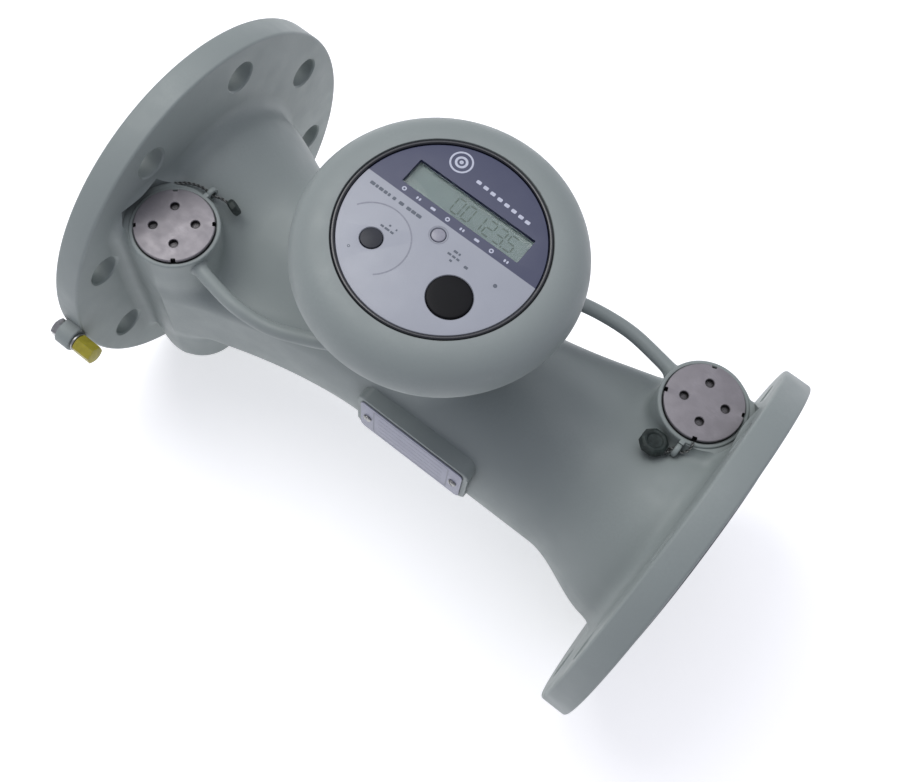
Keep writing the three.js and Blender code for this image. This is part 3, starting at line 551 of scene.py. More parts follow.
PAINT = (Finish("body_paint", linear(140, 148, 146), 0.45, specular=0.4)
         .mottled(38, 0.05).mottled(1.4, 0.035, 5.0)
         # painted shade: darkens the paint in the inner corners and hollows of the casting, conduits and head
         .painted_corner_shade(11, 0.55)
         .worn_edges(0.9, linear(118, 120, 116), 5.0, 0.58)
         .rough(0.4, 0.56, 12)
         .grain(7, 0.10, 2.0).grain(1.3, 0.022).material)
IRON = (Finish("machined_iron", linear(128, 130, 132), 0.38, metallic=0.85)
        .mottled(14, 0.18, 5.0).rough(0.3, 0.5, 6)
        .grain(0.5, 0.02, 2.0, (1.0, 1.0, 1.0)).material)
STEEL = (Finish("hardware_steel", linear(176, 176, 174), 0.3, metallic=0.9)
         .mottled(3, 0.22, 5.0).rough(0.24, 0.45, 2).grain(0.6, 0.01, 3.0).material)
WIRE = (Finish("seal_wire", linear(120, 122, 120), 0.4, metallic=0.8)
        .mottled(2.5, 0.35, 4.0)
        .grain(0.4, 0.01).material)
SEAL = (Finish("seal_body", linear(48, 58, 55), 0.5, metallic=0.25)
        .mottled(3, 0.45, 5.0).rough(0.4, 0.65, 3).worn_edges(0.5, linear(96, 104, 100), 2.0, 0.45)
        .grain(1.1, 0.08, 4.0).material)
TRANSDUCER = (Finish("transducer_metal", linear(190, 188, 184), 0.28, metallic=1.0)
              .mottled(6, 0.1)
              .grain(0.35, 0.01, 2.0, (8.0, 8.0, 1.0)).material)
HOLDER = moulded("holder_plastic", (206, 204, 196))
RUBBER = (Finish("rubber", linear(30, 31, 33), 0.75, specular=0.3)
          .mottled(4, 0.25, 4.0)
          .grain(0.5, 0.03, 3.0).material)
SLEEVE = moulded("lead_sleeve", (38, 40, 44), 0.5)
PLATE = (Finish("plate_aluminium", linear(146, 148, 164), 0.46, metallic=0.2)
         .mottled(10, 0.08).rough(0.3, 0.44, 4, (1.0, 1.0, 14.0))
         .grain(0.35, 0.012, 2.0, (0.05, 1.0, 1.0)).material)
YELLOW = (Finish("earth_yellow", linear(168, 158, 50), 0.42)
          .mottled(3, 0.2, 5.0).worn_edges(0.5, linear(150, 146, 120), 1.5, 0.5)
          .grain(0.8, 0.03, 3.0).material)
RING = (Finish("ring_black", linear(22, 24, 30), 0.22, coat=0.5, coat_roughness=0.08)
        .mottled(5, 0.2)
        .grain(1.5, 0.006).material)
BUTTON = (Finish("button_black", linear(8, 9, 14), 0.5, coat=0.04, coat_roughness=0.25, specular=0.14)
          .mottled(6, 0.25, 4.0)
          .grain(0.6, 0.008, 3.0).material)
DIAL = dial_face()
LCD = (Finish("display_body", linear(130, 144, 142), 0.35, coat=0.3, coat_roughness=0.15)
       .mottled(22, 0.10, 2.0)
       .grain(1.2, 0.004).material)
GLASS = (Finish("display_glass", (0.93, 0.96, 0.95, 1.0), 0.06, transmission=1.0, ior=1.2)
         .grain(30, 0.01).material)
WINDOW = (Finish("dark_window", linear(40, 43, 52), 0.4, coat=0.06, coat_roughness=0.2, specular=0.25)
          .mottled(3, 0.15)
          .grain(0.8, 0.006).material)
LENS = (Finish("lamp", linear(142, 142, 154), 0.34, coat=0.3, coat_roughness=0.1)
        .mottled(1.5, 0.1)
        .grain(0.9, 0.02).material)
COMPONENT = moulded("component_black", (32, 33, 36), 0.4)
BOARD = board_green()
BATTERY = battery_wrap()
INK_DARK = printed("ink_dark", (84, 92, 104))
INK_LIGHT = printed("ink_light", (192, 196, 212))
# a darker grey: printing round the lamp, and painted shade of the embossed ring round the optical port
FAINT_INK_AND_SHADE = printed("faint_ink_and_shade", (136, 139, 150))
INK_PLATE = printed("ink_plate", (122, 126, 140))
SEGMENTS = printed("display_segments", (94, 108, 102))


# ---------------------------------------------------------------- cast body
def blended(a, b, width):
    """The nearer of two distances, with a fillet of about the given width where they meet."""
    share = np.maximum(width - np.abs(a - b), 0) / width
    return np.minimum(a, b) - share * share * width / 4


def box_distance(a, b, half_a, half_b, radius):
    """Distance from a rounded rectangle centred on the origin of a and b."""
    p = np.abs(a) - (half_a - radius)
    q = np.abs(b) - (half_b - radius)
    return np.hypot(np.maximum(p, 0), np.maximum(q, 0)) + np.minimum(np.maximum(p, q), 0) - radius


def neck_radius(x):
    t = np.clip((np.abs(x) - FLANGE_IN + NECK_FLARE) / (NECK_FLARE - 5), 0, 1)
    return WAIST_R + (NECK_END_R - WAIST_R) * t * t * (3 - 2 * t)


def body_distance(x, y, z):
    """Distance from the outside of the cast body, without its flanges, at points in millimetres."""
    from_axis = np.hypot(y, z)
    distance = (from_axis - neck_radius(x)) * 0.95

    reach = math.hypot(BOSS_X, BOSS_Y)
    u = x * math.cos(BEAM) + y * math.sin(BEAM)
    v = y * math.cos(BEAM) - x * math.sin(BEAM)
    half = CHANNEL_HALF + (BOSS_R - 0.5 - CHANNEL_HALF) * np.minimum(np.abs(u) / reach, 1)
    middle = (CHANNEL_TOP + CHANNEL_BOTTOM) / 2
    channel = box_distance(v, z - middle, half, (CHANNEL_TOP - CHANNEL_BOTTOM) / 2, CHANNEL_ROUND)
    distance = blended(distance, np.maximum(channel, np.abs(u) - reach), CAST_FILLET + 4)

    pedestal = box_distance(np.hypot(x - HEAD_X, y), z, PEDESTAL_R, PEDESTAL_TOP + 4, 1)
    distance = blended(distance, np.maximum(pedestal, -z), CAST_FILLET)

    for sign in ENDS.values():
        r = np.hypot(x - sign * BOSS_X, y - sign * BOSS_Y)
        tall = BOSS_TOP + 4 - BOSS_BOTTOM
        boss = box_distance(r, z - BOSS_BOTTOM - tall / 2, BOSS_R, tall / 2, BOSS_ROUND)
        distance = blended(distance, boss, CAST_FILLET)
        across = y - sign * (BOSS_Y + (WEB_OUT - WEB_IN) / 2)
        base = BOSS_BOTTOM + BOSS_ROUND
        web = box_distance(across, z - (WEB_TOP + base) / 2, (WEB_OUT + WEB_IN) / 2, (WEB_TOP - base) / 2, 5)
        web = np.maximum(web, BOSS_X - sign * x)
        distance = blended(distance, web, CAST_FILLET)

    slab = np.maximum(FLANGE_IN + 0.05 - np.abs(x), from_axis - 100)
    return np.maximum(blended(distance, slab, CAST_FILLET), np.abs(x) - FLANGE_IN - 5)


def level_surface(distance, low, high, step):
    """A mesh of the zero level of a distance field: one vertex in each cell that the level passes through."""
    axes = [np.arange(a, b + step, step, dtype=np.float32) for a, b in zip(low, high)]
    field = distance(*np.meshgrid(*axes, indexing="ij"))
    shape = np.array(field.shape)
    total = np.zeros((*(shape - 1), 3), np.float32)
    hits = np.zeros(shape - 1, np.int32)
    crossings = []
    for axis in range(3):
        u, v = (axis + 1) % 3, (axis + 2) % 3
        near = field.take(np.arange(shape[axis] - 1), axis)
        far = field.take(np.arange(1, shape[axis]), axis)
        crossed = (near < 0) != (far < 0)
        at = np.argwhere(crossed)
        point = at.astype(np.float32)
        point[:, axis] += near[crossed] / (near[crossed] - far[crossed])
        cells = []
        for du, dv in ((0, 0), (1, 0), (1, 1), (0, 1)):
            cell = at.copy()
            cell[:, u] -= du
            cell[:, v] -= dv
            np.add.at(total, tuple(cell.T), point)
            np.add.at(hits, tuple(cell.T), 1)
            cells.append(cell)
        crossings.append((cells, near[crossed] < 0))
    used = hits > 0
    number = np.zeros(hits.shape, int)
    number[used] = np.arange(used.sum())
    verts = total[used] / hits[used][:, None] * step + np.array(low)
    faces = []
    for cells, leaving in crossings:
        quads = np.stack([number[tuple(c.T)] for c in cells], 1)
        quads[~leaving] = quads[~leaving][:, ::-1]
        faces.extend(quads.tolist())
    return settled(verts, distance), faces


def settled(verts, distance, rounds=3, probe=0.05):
    """The vertices moved on to the zero level of the field."""
    for _ in range(rounds):
        value = distance(*verts.T)
        slope = np.stack([(distance(*(verts + probe * d).T) - distance(*(verts - probe * d).T)) / (2 * probe)
                          for d in np.eye(3)], 1)
        square = np.maximum((slope ** 2).sum(1), 0.2)
        verts = verts - np.clip(value / square, -0.6, 0.6)[:, None] * slope
    return verts


def flange(sign):
    corners = [(0, FLANGE_IN, 0), (FLANGE_R, FLANGE_IN, 1.6), (FLANGE_R, FLANGE_OUT, 1.6),
               (RAISED_R, FLANGE_OUT, 1), (RAISED_R, HALF, 0.5), (0, HALF, 0)]
    return along_x(revolve([(r, sign * h) for r, h in filleted(corners, 4)], 180))


def bore():
    past = HALF + 4
    taper = FLANGE_IN - NECK_FLARE - 5
    right = [(THROAT_R, 0, 0), (THROAT_R, taper, 12), (MOUTH_R, FLANGE_IN - 10, 12), (MOUTH_R, HALF - 1, 0),
             (MOUTH_R + 5, past, 0), (0, past, 0), (0, 0, 0)]
    half = filleted(right, 6)[:-1]
    mirrored = [(r, -h) for r, h in half[1:]][::-1]
    return along_x(revolve([*half, *mirrored], 120))


def bolt_holes():
    chamfer = 0.8
    out, inside = FLANGE_OUT + 1, FLANGE_IN - 1
    profile = [(0, inside), (BOLT_HOLE_R + chamfer + 1, inside), (BOLT_HOLE_R, inside + 1 + chamfer),
               (BOLT_HOLE_R, out - 1 - chamfer), (BOLT_HOLE_R + chamfer + 1, out), (0, out)]
    for sign in ENDS.values():
        for i in range(BOLT_COUNT):
            a = 2 * math.pi * (i + 0.5) / BOLT_COUNT
            hole = along_x(revolve([(r, sign * h) for r, h in profile], 40))
            yield moved(hole, 0, BOLT_CIRCLE_R * math.cos(a), BOLT_CIRCLE_R * math.sin(a))


def boss_cuts(sign):
    """What a boss loses: the waste above its rounded rim, the cap seat, the pocket and the sound path."""
    top, rim = BOSS_TOP, CAP_R + GAP
    rounding = 1.0
    waste = filleted([(rim - 1, top, 0), (BOSS_R, top, rounding), (BOSS_R + 0.01, top - rounding - 0.1, 0),
                      (BOSS_R + 3, top - rounding - 0.1, 0), (BOSS_R + 3, top + 6, 0),
                      (rim - 1, top + 6, 0)], 5)
    yield moved(revolve(waste, 120), sign * BOSS_X, sign * BOSS_Y)
    seat = [(0, POCKET_BOTTOM), (POCKET_R, POCKET_BOTTOM), (POCKET_R, COUNTERBORE_Z - 0.6),
            (POCKET_R + 0.6, COUNTERBORE_Z), (rim, COUNTERBORE_Z), (rim, top - 0.5), (rim + 0.5, top),
            (rim + 0.5, top + 8), (0, top + 8)]
    yield moved(revolve(seat, 96), sign * BOSS_X, sign * BOSS_Y)
    start = (sign * BOSS_X, sign * BOSS_Y, 0)
    inward = (-sign * math.cos(BEAM), -sign * math.sin(BEAM), 0)
    yield aimed(rod(12.3, 0, math.hypot(BOSS_X, BOSS_Y) - 40, segments=48), start, inward)


def lug_at(end):
    sign = ENDS[end]
    return np.array((sign * (BOSS_X + LUG_SHIFT[end]), sign * (BOSS_Y - BOSS_R - LUG_R), BOSS_TOP - LUG_R))


def seal_lug(end):
    """A cast eye on the boss's inner side, for the seal wire."""
    at, sign = lug_at(end), ENDS[end]
    ring = filleted([(LUG_HOLE_R, -LUG_T / 2, 0.6), (LUG_R, -LUG_T / 2, 1), (LUG_R, LUG_T / 2, 1),
                     (LUG_HOLE_R, LUG_T / 2, 0.6)], 3)
    eye = moved(along_x(revolve(ring, 40)), *at)
    root = prism(rectangle((-LUG_R, LUG_R), (2.5, 6)), -LUG_T / 2, LUG_T / 2, 0.6)
    root = spun(root, 0 if sign > 0 else math.pi)
    return eye, moved(along_x(root), *at)


def name_plate_pad():
    low, high = PAD_BOX
    shape = prism(rectangle((low[0], high[0]), (low[1], high[1]), 6, 8), 20, PAD_FACE, 1.2, 4)
    return spun(shape, math.pi / 2, "X")


def earth_ear():
    """The rounded ear at the rim of the inlet flange that carries the earth bolt."""
    x = (BOLT_EAR_LOW, BOLT_EAR_HIGH)
    outline = [(EARTH_Y + 8, EARTH_Z - EAR_R), (EARTH_Y + 8, EARTH_Z + EAR_R)]
    outline += [(EARTH_Y + EAR_R * math.cos(a), EARTH_Z + EAR_R * math.sin(a))
                for a in np.linspace(math.pi / 2, 1.5 * math.pi, 17)]
    shape = prism(outline, x[0], x[1], 0.8)
    turn = np.array(((0, 0, 1.0), (1.0, 0, 0), (0, 1.0, 0)))
    return shape[0] @ turn.T, shape[1]


PLATE_LOW, PLATE_HIGH = extent("name_plate")
PLATE_MARGIN = 3
PAD_FACE = -PLATE_HIGH[1] - GAP
PAD_BOX = (PLATE_LOW[[0, 2]] - PLATE_MARGIN, PLATE_HIGH[[0, 2]] + PLATE_MARGIN)
NUT_LOW, NUT_HIGH = extent("earth_nut")
EARTH_Y, EARTH_Z = (NUT_LOW[1:] + NUT_HIGH[1:]) / 2
WASHER_LOW, WASHER_HIGH = extent("earth_washer")
BOLT_EAR_HIGH = WASHER_LOW[0] - GAP
BOLT_EAR_LOW = BOLT_EAR_HIGH - 10
EAR_R = 7
CAST_STEP = 1.4          # cell of the mesh of the cast surface
CAST_REACH = 102         # half the width and height of the field that it is taken from


def body_casting():
    """The casting: blended cast surfaces with crisp machined flanges, holes and seats cut into them."""
    corner = np.array((FLANGE_IN + 7, CAST_REACH, CAST_REACH))
    blank = level_surface(body_distance, -corner, corner, CAST_STEP)
    lugs = [s for end in ENDS for s in seal_lug(end)]
    flush = moved(rod(PEDESTAL_R + 6, PEDESTAL_TOP, PEDESTAL_TOP + 8, segments=64), HEAD_X)
    cuts = [bore(), flush, *bolt_holes(), *(c for sign in ENDS.values() for c in boss_cuts(sign))]
    cuts.append(moved(along_x(rod(3.3, -HALF, -FLANGE_IN + 5, segments=32)), 0, EARTH_Y, EARTH_Z))
    shape = carved(blank, [flange(-1), flange(1), name_plate_pad(), earth_ear()], cuts)
    shape = carved(shape, lugs)
    obj = piece("casting", shape, PAINT, stands_for=["body_casting"], sharp=28)
    obj.data.materials.append(IRON)
    for face in obj.data.polygons:
        if abs(face.center.x) > (HALF - 0.7) * MM:
            face.material_index = 1
    return obj


body_casting()


# ---------------------------------------------------------------- caps
def cap(end):
    """A turned steel cap with four pin-wrench holes and a locking notch outside each of them."""
    sign = ENDS[end]
    disc = revolve(filleted([(0, CAP_SEAT_Z, 0), (CAP_R, CAP_SEAT_Z, 0.3), (CAP_R, CAP_TOP_Z, 0.6),
                             (0, CAP_TOP_Z, 0)], 4), 160)
    cuts = []
    for i in range(4):
        a = math.radians(CAP_TURN[end] + 90 * i)
        hole = revolve([(0, CAP_TOP_Z - PIN_DEPTH), (PIN_R, CAP_TOP_Z - PIN_DEPTH), (PIN_R, CAP_TOP_Z - 0.3),
                        (PIN_R + 0.8, CAP_TOP_Z + 0.5), (0, CAP_TOP_Z + 0.5)], 40)
        cuts.append(moved(hole, PIN_CIRCLE_R * math.cos(a), PIN_CIRCLE_R * math.sin(a)))
        notch = prism(rectangle((CAP_R - NOTCH_DEPTH, CAP_R + 2), (-NOTCH_W / 2, NOTCH_W / 2), 0.5),
                      CAP_SEAT_Z - 1, CAP_TOP_Z + 1)
        cuts.append(spun(notch, a))
    shape = moved(carved(disc, cut=cuts), sign * BOSS_X, sign * BOSS_Y)
    piece(f"{end}_turned_cap", shape, cap_steel(sign * BOSS_X, sign * BOSS_Y),
          body=f"{end}_cap_body", stands_for=[f"{end}_cap"], sharp=30)


# ---------------------------------------------------------------- conduits
def conduit_route(end):
    """From inside the boss, out sideways, along the body and into the head base."""
    sign = ENDS[end]
    leave = np.array((-sign * math.cos(math.radians(18)), sign * math.sin(math.radians(18)), 0))
    gland = np.array((sign * math.cos(GLAND_TURN), sign * math.sin(GLAND_TURN), 0))
    boss = np.array((sign * BOSS_X, sign * BOSS_Y, TUBE_Z))
    head = np.array((HEAD_X, 0, GLAND_Z))
    near_head = sign * HEAD_X + BASE_NECK_R + 7
    near_boss = BOSS_X - BOSS_R - 3

    def along(t, inward, rise):
        x = near_head + t * (near_boss - near_head)
        return (sign * x, sign * (TUBE_BULGE_Y - inward), TUBE_Z + rise)
    return [boss + leave * (POCKET_R + 1), boss + leave * (BOSS_R + 3),
            along(0.91, 2.6, 0), along(0.6, 0, 0.2), along(0.25, 1.9, 0.2), along(0, 7, 1.6),
            head + gland * (BASE_NECK_R + 13) - (0, 0, 0.6),
            head + gland * (BASE_NECK_R + 6), head + gland * (BASE_NECK_R + GAP)]


def conduit(end):
    """A bent painted tube with a small weld fillet where it meets the boss and the head."""
    route, along = smooth_route(conduit_route(end), 150)
    wall = BOSS_R - POCKET_R - 1
    at_boss = 1.3 * np.exp(-np.maximum(along - wall, 0) / 1.6)
    at_head = 1.0 * np.exp((along - along[-1]) / 1.4)
    radius = TUBE_R + at_boss + at_head
    shape = tube(route, radius, 32)
    piece(f"{end}_painted_conduit", shape, PAINT, stands_for=[f"{end}_conduit"], sharp=50)


# ---------------------------------------------------------------- seals and their wires
SEALS = {
    "inlet": dict(radius=4.6, thickness=4.2, flat=False, from_lug=(-13.6, -4),
                  wire=[(-4.6, -1.8, -1.6), (-2, -0.1, -0.1), (0, 0, 0), (2.4, 0, 0.2), (6.5, 0.7, 1.5),
                        (12.5, 3.7, 2.5), (18.5, 8.2, 1.9)]),
    "outlet": dict(radius=7.6, thickness=5.6, flat=True, from_lug=(-11.4, -5.2),
                   wire=[(-3.2, -2.0, -1.3), (-1.7, -0.1, 0), (0, 0, 0.1), (2.4, 0.1, 0.3), (4.6, 1.8, 2.6),
                         (4.9, 4.8, 5.5), (4.2, 6.2, 5.5)]),
}
WIRE_R = 0.9


def pressed_seal(radius, thickness):
    """A crimped seal: eight pressed sides, a raised rim and a shallow round face on both ends."""
    half = [(0, thickness - 1.0, 0), (radius * 0.5, thickness - 1.0, 0.3),
            (radius * 0.6, thickness - 0.2, 0.3), (radius * 0.78, thickness, 0.4),
            (radius, thickness - 0.9, 0.5)]
    lower = [(r, thickness - z, f) for r, z, f in half[::-1]]
    verts, faces = revolve(filleted([*half, *lower], 3), 96)
    turn = np.arctan2(verts[:, 1], verts[:, 0])
    side = (turn + math.pi / 8) % (math.pi / 4) - math.pi / 8
    flatten = math.cos(math.pi / 8) / np.cos(side)
    share = np.clip(np.hypot(verts[:, 0], verts[:, 1]) / radius, 0, 1) ** 3 * 0.8
    verts[:, :2] *= (1 + (flatten - 1) * share)[:, None]
    return verts, faces


def seal(end):
    """A seal lying on the neck, and its two-strand wire from the seal through the cast lug."""
    sign, s, lug = ENDS[end], SEALS[end], lug_at(end)
    x, y = lug[:2] + sign * np.array(s["from_lug"])
    neck = float(neck_radius(np.array(abs(x) + s["radius"])))
    tilt = math.asin(y / neck)
    away = np.array((0, math.sin(tilt), math.cos(tilt)))
    rest = away * (neck + 1.2) + (x, 0, 0)
    disc = pressed_seal(s["radius"], s["thickness"])
    if not s["flat"]:
        disc = spun(moved(disc, z=-s["thickness"] / 2), math.pi / 2, "X")
        disc = moved(spun(disc, math.radians(-20)), z=s["radius"])
    piece(f"{end}_pressed_seal", aimed(disc, rest, away), SEAL, stands_for=[f"{end}_seal"])

    centre = rest + away * (s["thickness"] / 2 if s["flat"] else s["radius"])
    start = centre + (sign * (s["radius"] + WIRE_R + GAP), 0, 0)
    inside = centre + (sign * s["radius"] * 0.7, 0, 0)
    points = [inside, start, *(lug + (sign * a, sign * b, c) for a, b, c in s["wire"])]
    route, along = smooth_route(points, 160)
    across, over = frames_along(route)
    twist = along * 2 * math.pi / 5.0
    strand_r = WIRE_R * 0.48
    strands = []
    for phase in (0, math.pi):
        offset = across * np.cos(twist + phase)[:, None] + over * np.sin(twist + phase)[:, None]
        strands.append(tube(route + offset * strand_r, strand_r, 10))
    piece(f"{end}_twisted_wire", together(*strands), WIRE,
          stands_for=[f"{end}_seal_wire"], sharp=60)


for end_name in ENDS:
    cap(end_name)
    conduit(end_name)
    seal(end_name)


# ---------------------------------------------------------------- head housing
def on_head(shape):
    return moved(shape, HEAD_X)


def quarter(steps):
    return np.linspace(0, math.pi / 2, steps)


def head_base():
    """The funnel under the bezel, with a short sleeve where each conduit goes in."""
    low, rim_z = BASE_LOW[2], BASE_HIGH[2] - 2
    grow, rise = BASE_RIM_R - BASE_NECK_R, rim_z - BASE_NECK_TOP
    outer = [(BASE_NECK_R + grow * math.sin(a), BASE_NECK_TOP + rise * (1 - math.cos(a)))
             for a in quarter(28)]
    inner = [(r - BASE_WALL, z + BASE_WALL * 0.4 * (1 - i / 27)) for i, (r, z) in enumerate(outer)]
    floor = low + BASE_WALL
    foot = [(0, low), (BASE_NECK_R - 0.8, low), (BASE_NECK_R - 0.23, low + 0.23), (BASE_NECK_R, low + 0.8)]
    profile = [*foot, *outer, (BASE_RIM_R, rim_z + 2), (BASE_RIM_R - BASE_WALL, rim_z + 2), *inner[::-1],
               (BASE_NECK_R - BASE_WALL, floor), (0, floor)]
    sleeves = []
    for sign in ENDS.values():
        out = (sign * math.cos(GLAND_TURN), sign * math.sin(GLAND_TURN), 0)
        sleeve = rod(TUBE_R + 1.1, BASE_NECK_R - 2, BASE_NECK_R + 2.4, 0.7, 48)
        sleeves.append(aimed(sleeve, (HEAD_X, 0, GLAND_Z), out))
    shape = carved(on_head(revolve(profile, 144)), sleeves)
    piece("head_funnel", shape, PAINT, stands_for=["head_base"], sharp=32)


def head_bezel():
    """The rounded ring that clamps the dial: a superellipse outside, a bore and a ledge inside."""
    crown, power = RING_OUT_R + 0.6, 2 / 2.2
    upper = [(crown + (BEZEL_R - crown) * math.cos(a) ** power,
              BEZEL_MID_Z + (BEZEL_TOP_Z - BEZEL_MID_Z) * math.sin(a) ** power) for a in quarter(44)]
    lower = [(BASE_RIM_R + (BEZEL_R - BASE_RIM_R) * (0.9 * t + 0.1 * math.sin(math.pi * t / 2)) ** 0.9,
              BEZEL_BOTTOM_Z + (BEZEL_MID_Z - BEZEL_BOTTOM_Z) * t) for t in np.linspace(0, 1, 22)]
    inner = RING_OUT_R + GAP
    ledge = RING_LOW[2] - GAP
    inside = [(inner, BEZEL_TOP_Z - 0.4), (inner, ledge), (LEDGE_R, ledge), (LEDGE_R, ledge - LEDGE_T),
              (LEDGE_R + 10, ledge - LEDGE_T - 1), (BEZEL_R - 10, BEZEL_MID_Z + 3),
              (BASE_RIM_R - BASE_WALL, BEZEL_BOTTOM_Z)]
    shape = on_head(revolve([*lower[:-1], *upper, *inside], 192))
    piece("round_bezel", shape, PAINT, stands_for=["head_bezel"], sharp=40)


def dial_ring():
    low, top = RING_LOW[2], RING_HIGH[2]
    profile = filleted([(RING_IN_R, low, 0.2), (RING_OUT_R, low, 0.2), (RING_OUT_R, top, 0.9),
                        (RING_IN_R, top, 0.9)], 6)
    piece("black_ring", on_head(revolve(profile, 192)), RING,
          stands_for=["dial_ring"], sharp=50)


head_base()
head_bezel()
dial_ring()


# ---------------------------------------------------------------- dial, display and button
GLASS_LOW, GLASS_HIGH = extent("display_window")
LCD_X = (GLASS_LOW[0] - GAP, GLASS_HIGH[0] + GAP)
LCD_Y = (GLASS_LOW[1] - GAP, GLASS_HIGH[1] + GAP)
BUTTON_LOW, BUTTON_HIGH = extent("display_button")
BUTTON_AT = (BUTTON_LOW[:2] + BUTTON_HIGH[:2]) / 2
BUTTON_R = (BUTTON_HIGH[0] - BUTTON_LOW[0]) / 2 - 1.4
PORT_LOW, PORT_HIGH = extent("optical_window")
PORT_AT = (PORT_LOW[:2] + PORT_HIGH[:2]) / 2
PORT_R = (PORT_HIGH[0] - PORT_LOW[0]) / 2
LAMP_LOW, LAMP_HIGH = extent("lamp_window")
LAMP_AT = (LAMP_LOW[:2] + LAMP_HIGH[:2]) / 2
LAMP_R = (LAMP_HIGH[0] - LAMP_LOW[0]) / 2
MARK_T = 0.05             # printed marks stand this far off the panel
EMBLEM_AT = (-17.1, 36.6)                # plain rings, as from the head's axis
EMBLEM_RINGS = ((4.9, 5.8), (2.0, 3.2), (0.1, 1.0))
DARK_MARKS = (                           # height on the panel, height of the bars, bars
    (-2.0, 1.2, [(8.2, 10.4), (11.0, 12.0)]),
    (-4.6, 1.1, [(6.6, 8.6), (9.2, 11.0), (11.6, 13.2)]),
    (-7.0, 1.1, [(9.4, 10.8)]),
    (-5.4, 1.4, [(16.6, 18.6)]),
    (-12.9, 1.1, [(-25.6, -23.8), (-23.2, -20.6), (-20.0, -18.2)]),
    (-10.6, 1.0, [(-22.4, -21.4), (-18.6, -17.8)]),
)
SPRING_WIRE_R = 0.4
SPRING_COILS = 4


def dial_plate():
    """The printed panel, with an opening for each of the display, button, port and lamp."""
    low, edge = DIAL_LOW[2], 0.35
    outline = filleted([(0, low, 0), (DIAL_R, low, 0), (DIAL_R, DIAL_Z, edge), (0, DIAL_Z, 0)], 4)
    disc = on_head(revolve(outline, 192))
    cuts = [prism(rectangle(LCD_X, LCD_Y, 0.6), low - 1, DIAL_Z + 1)]
    for at, r in ((BUTTON_AT, BUTTON_R), (PORT_AT, PORT_R), (LAMP_AT, LAMP_R)):
        hole = revolve([(0, low - 1), (r + GAP, low - 1), (r + GAP, DIAL_Z - edge),
                        (r + GAP + edge * 2, DIAL_Z + edge), (0, DIAL_Z + edge)], 72)
        cuts.append(moved(hole, *at))
    piece("printed_panel", carved(disc, cut=cuts), DIAL, stands_for=["dial_plate"], sharp=30)


def bars(spans, y, height, slope=0.0):
    """A row of flat printed bars from (start, end) spans along X, as from the head's axis."""
    for start, stop in spans:
        rise = y + slope * (start + stop) / 2
        outline = rectangle((start, stop), (rise - height / 2, rise + height / 2), height * 0.25, 3)
        yield on_head(prism(outline, DIAL_Z, DIAL_Z + MARK_T))


def flat_ring(x, y, inner, outer, start=0.0, stop=360.0):
    """A flat ring, or an arc of one in degrees: printing, and for the ring round the optical port, painted
    shade.
    """
    turn = np.radians(np.linspace(start, stop, 73))
    if stop - start >= 360:
        profile = [(inner, DIAL_Z), (outer, DIAL_Z), (outer, DIAL_Z + MARK_T), (inner, DIAL_Z + MARK_T)]
        return on_head(moved(revolve(profile, 72), x, y))
    outline = [(x + outer * math.cos(a), y + outer * math.sin(a)) for a in turn]
    outline += [(x + inner * math.cos(a), y + inner * math.sin(a)) for a in turn[::-1]]
    return on_head(prism(outline, DIAL_Z, DIAL_Z + MARK_T))


def marks_on_dial():
    """Generic marks only: plain bars, rings and dots where the panel has its printing, and a darker ring round
    the optical port that is the painted shade of an embossed ring.
    """
    light = [flat_ring(*EMBLEM_AT, inner, outer) for inner, outer in EMBLEM_RINGS]
    light += bars([(x, x + 2.6) for x in (-5.6, -1.3, 3.0, 7.3, 11.6, 15.9, 20.2, 24.2)], 33.0, 1.8, -0.08)
    icon_y = 8.7
    for i in range(8):
        x = -29 + 8.4 * i
        if i % 3 == 0:
            light.append(flat_ring(x, icon_y, 0.55, 1.15))
        elif i % 3 == 1:
            light += bars([(x - 1.2, x - 0.3), (x + 0.3, x + 1.2)], icon_y, 1.5)
        else:
            light += bars([(x - 1.3, x + 1.3)], icon_y, 1.3)
    piece("light_marks", together(*light), INK_LIGHT, sharp=30)

    dark = list(bars([(-43.2, -40.6), (-40.1, -38.6), (-38.1, -35.8), (-35.3, -33.4), (-32.9, -31.6),
                      (-30.1, -28.4), (-26.4, -23.8), (-22.0, -19.6), (-19.2, -16.8), (-16.4, -13.6)],
                     1.6, 1.7))
    for y, height, spans in DARK_MARKS:
        dark += bars(spans, y, height)
    dark.append(flat_ring(33.3, -4.2, 0.1, 1.0))
    dark.append(flat_ring(-30.0, -30.5, 0.4, 0.7))
    piece("dark_marks", together(*dark), INK_DARK, sharp=30)

    # The ring round the optical port is a real embossed ring, drawn flat in a darker grey as its painted shade;
    # the ring round the lamp is printing.
    faint = [flat_ring(*(PORT_AT - (HEAD_X, 0)), 17.9, 18.6, -49, 150),
             flat_ring(*(LAMP_AT - (HEAD_X, 0)), LAMP_R + 0.9, LAMP_R + 1.3)]
    piece("faint_rings_and_shade", together(*faint), FAINT_INK_AND_SHADE, sharp=30)


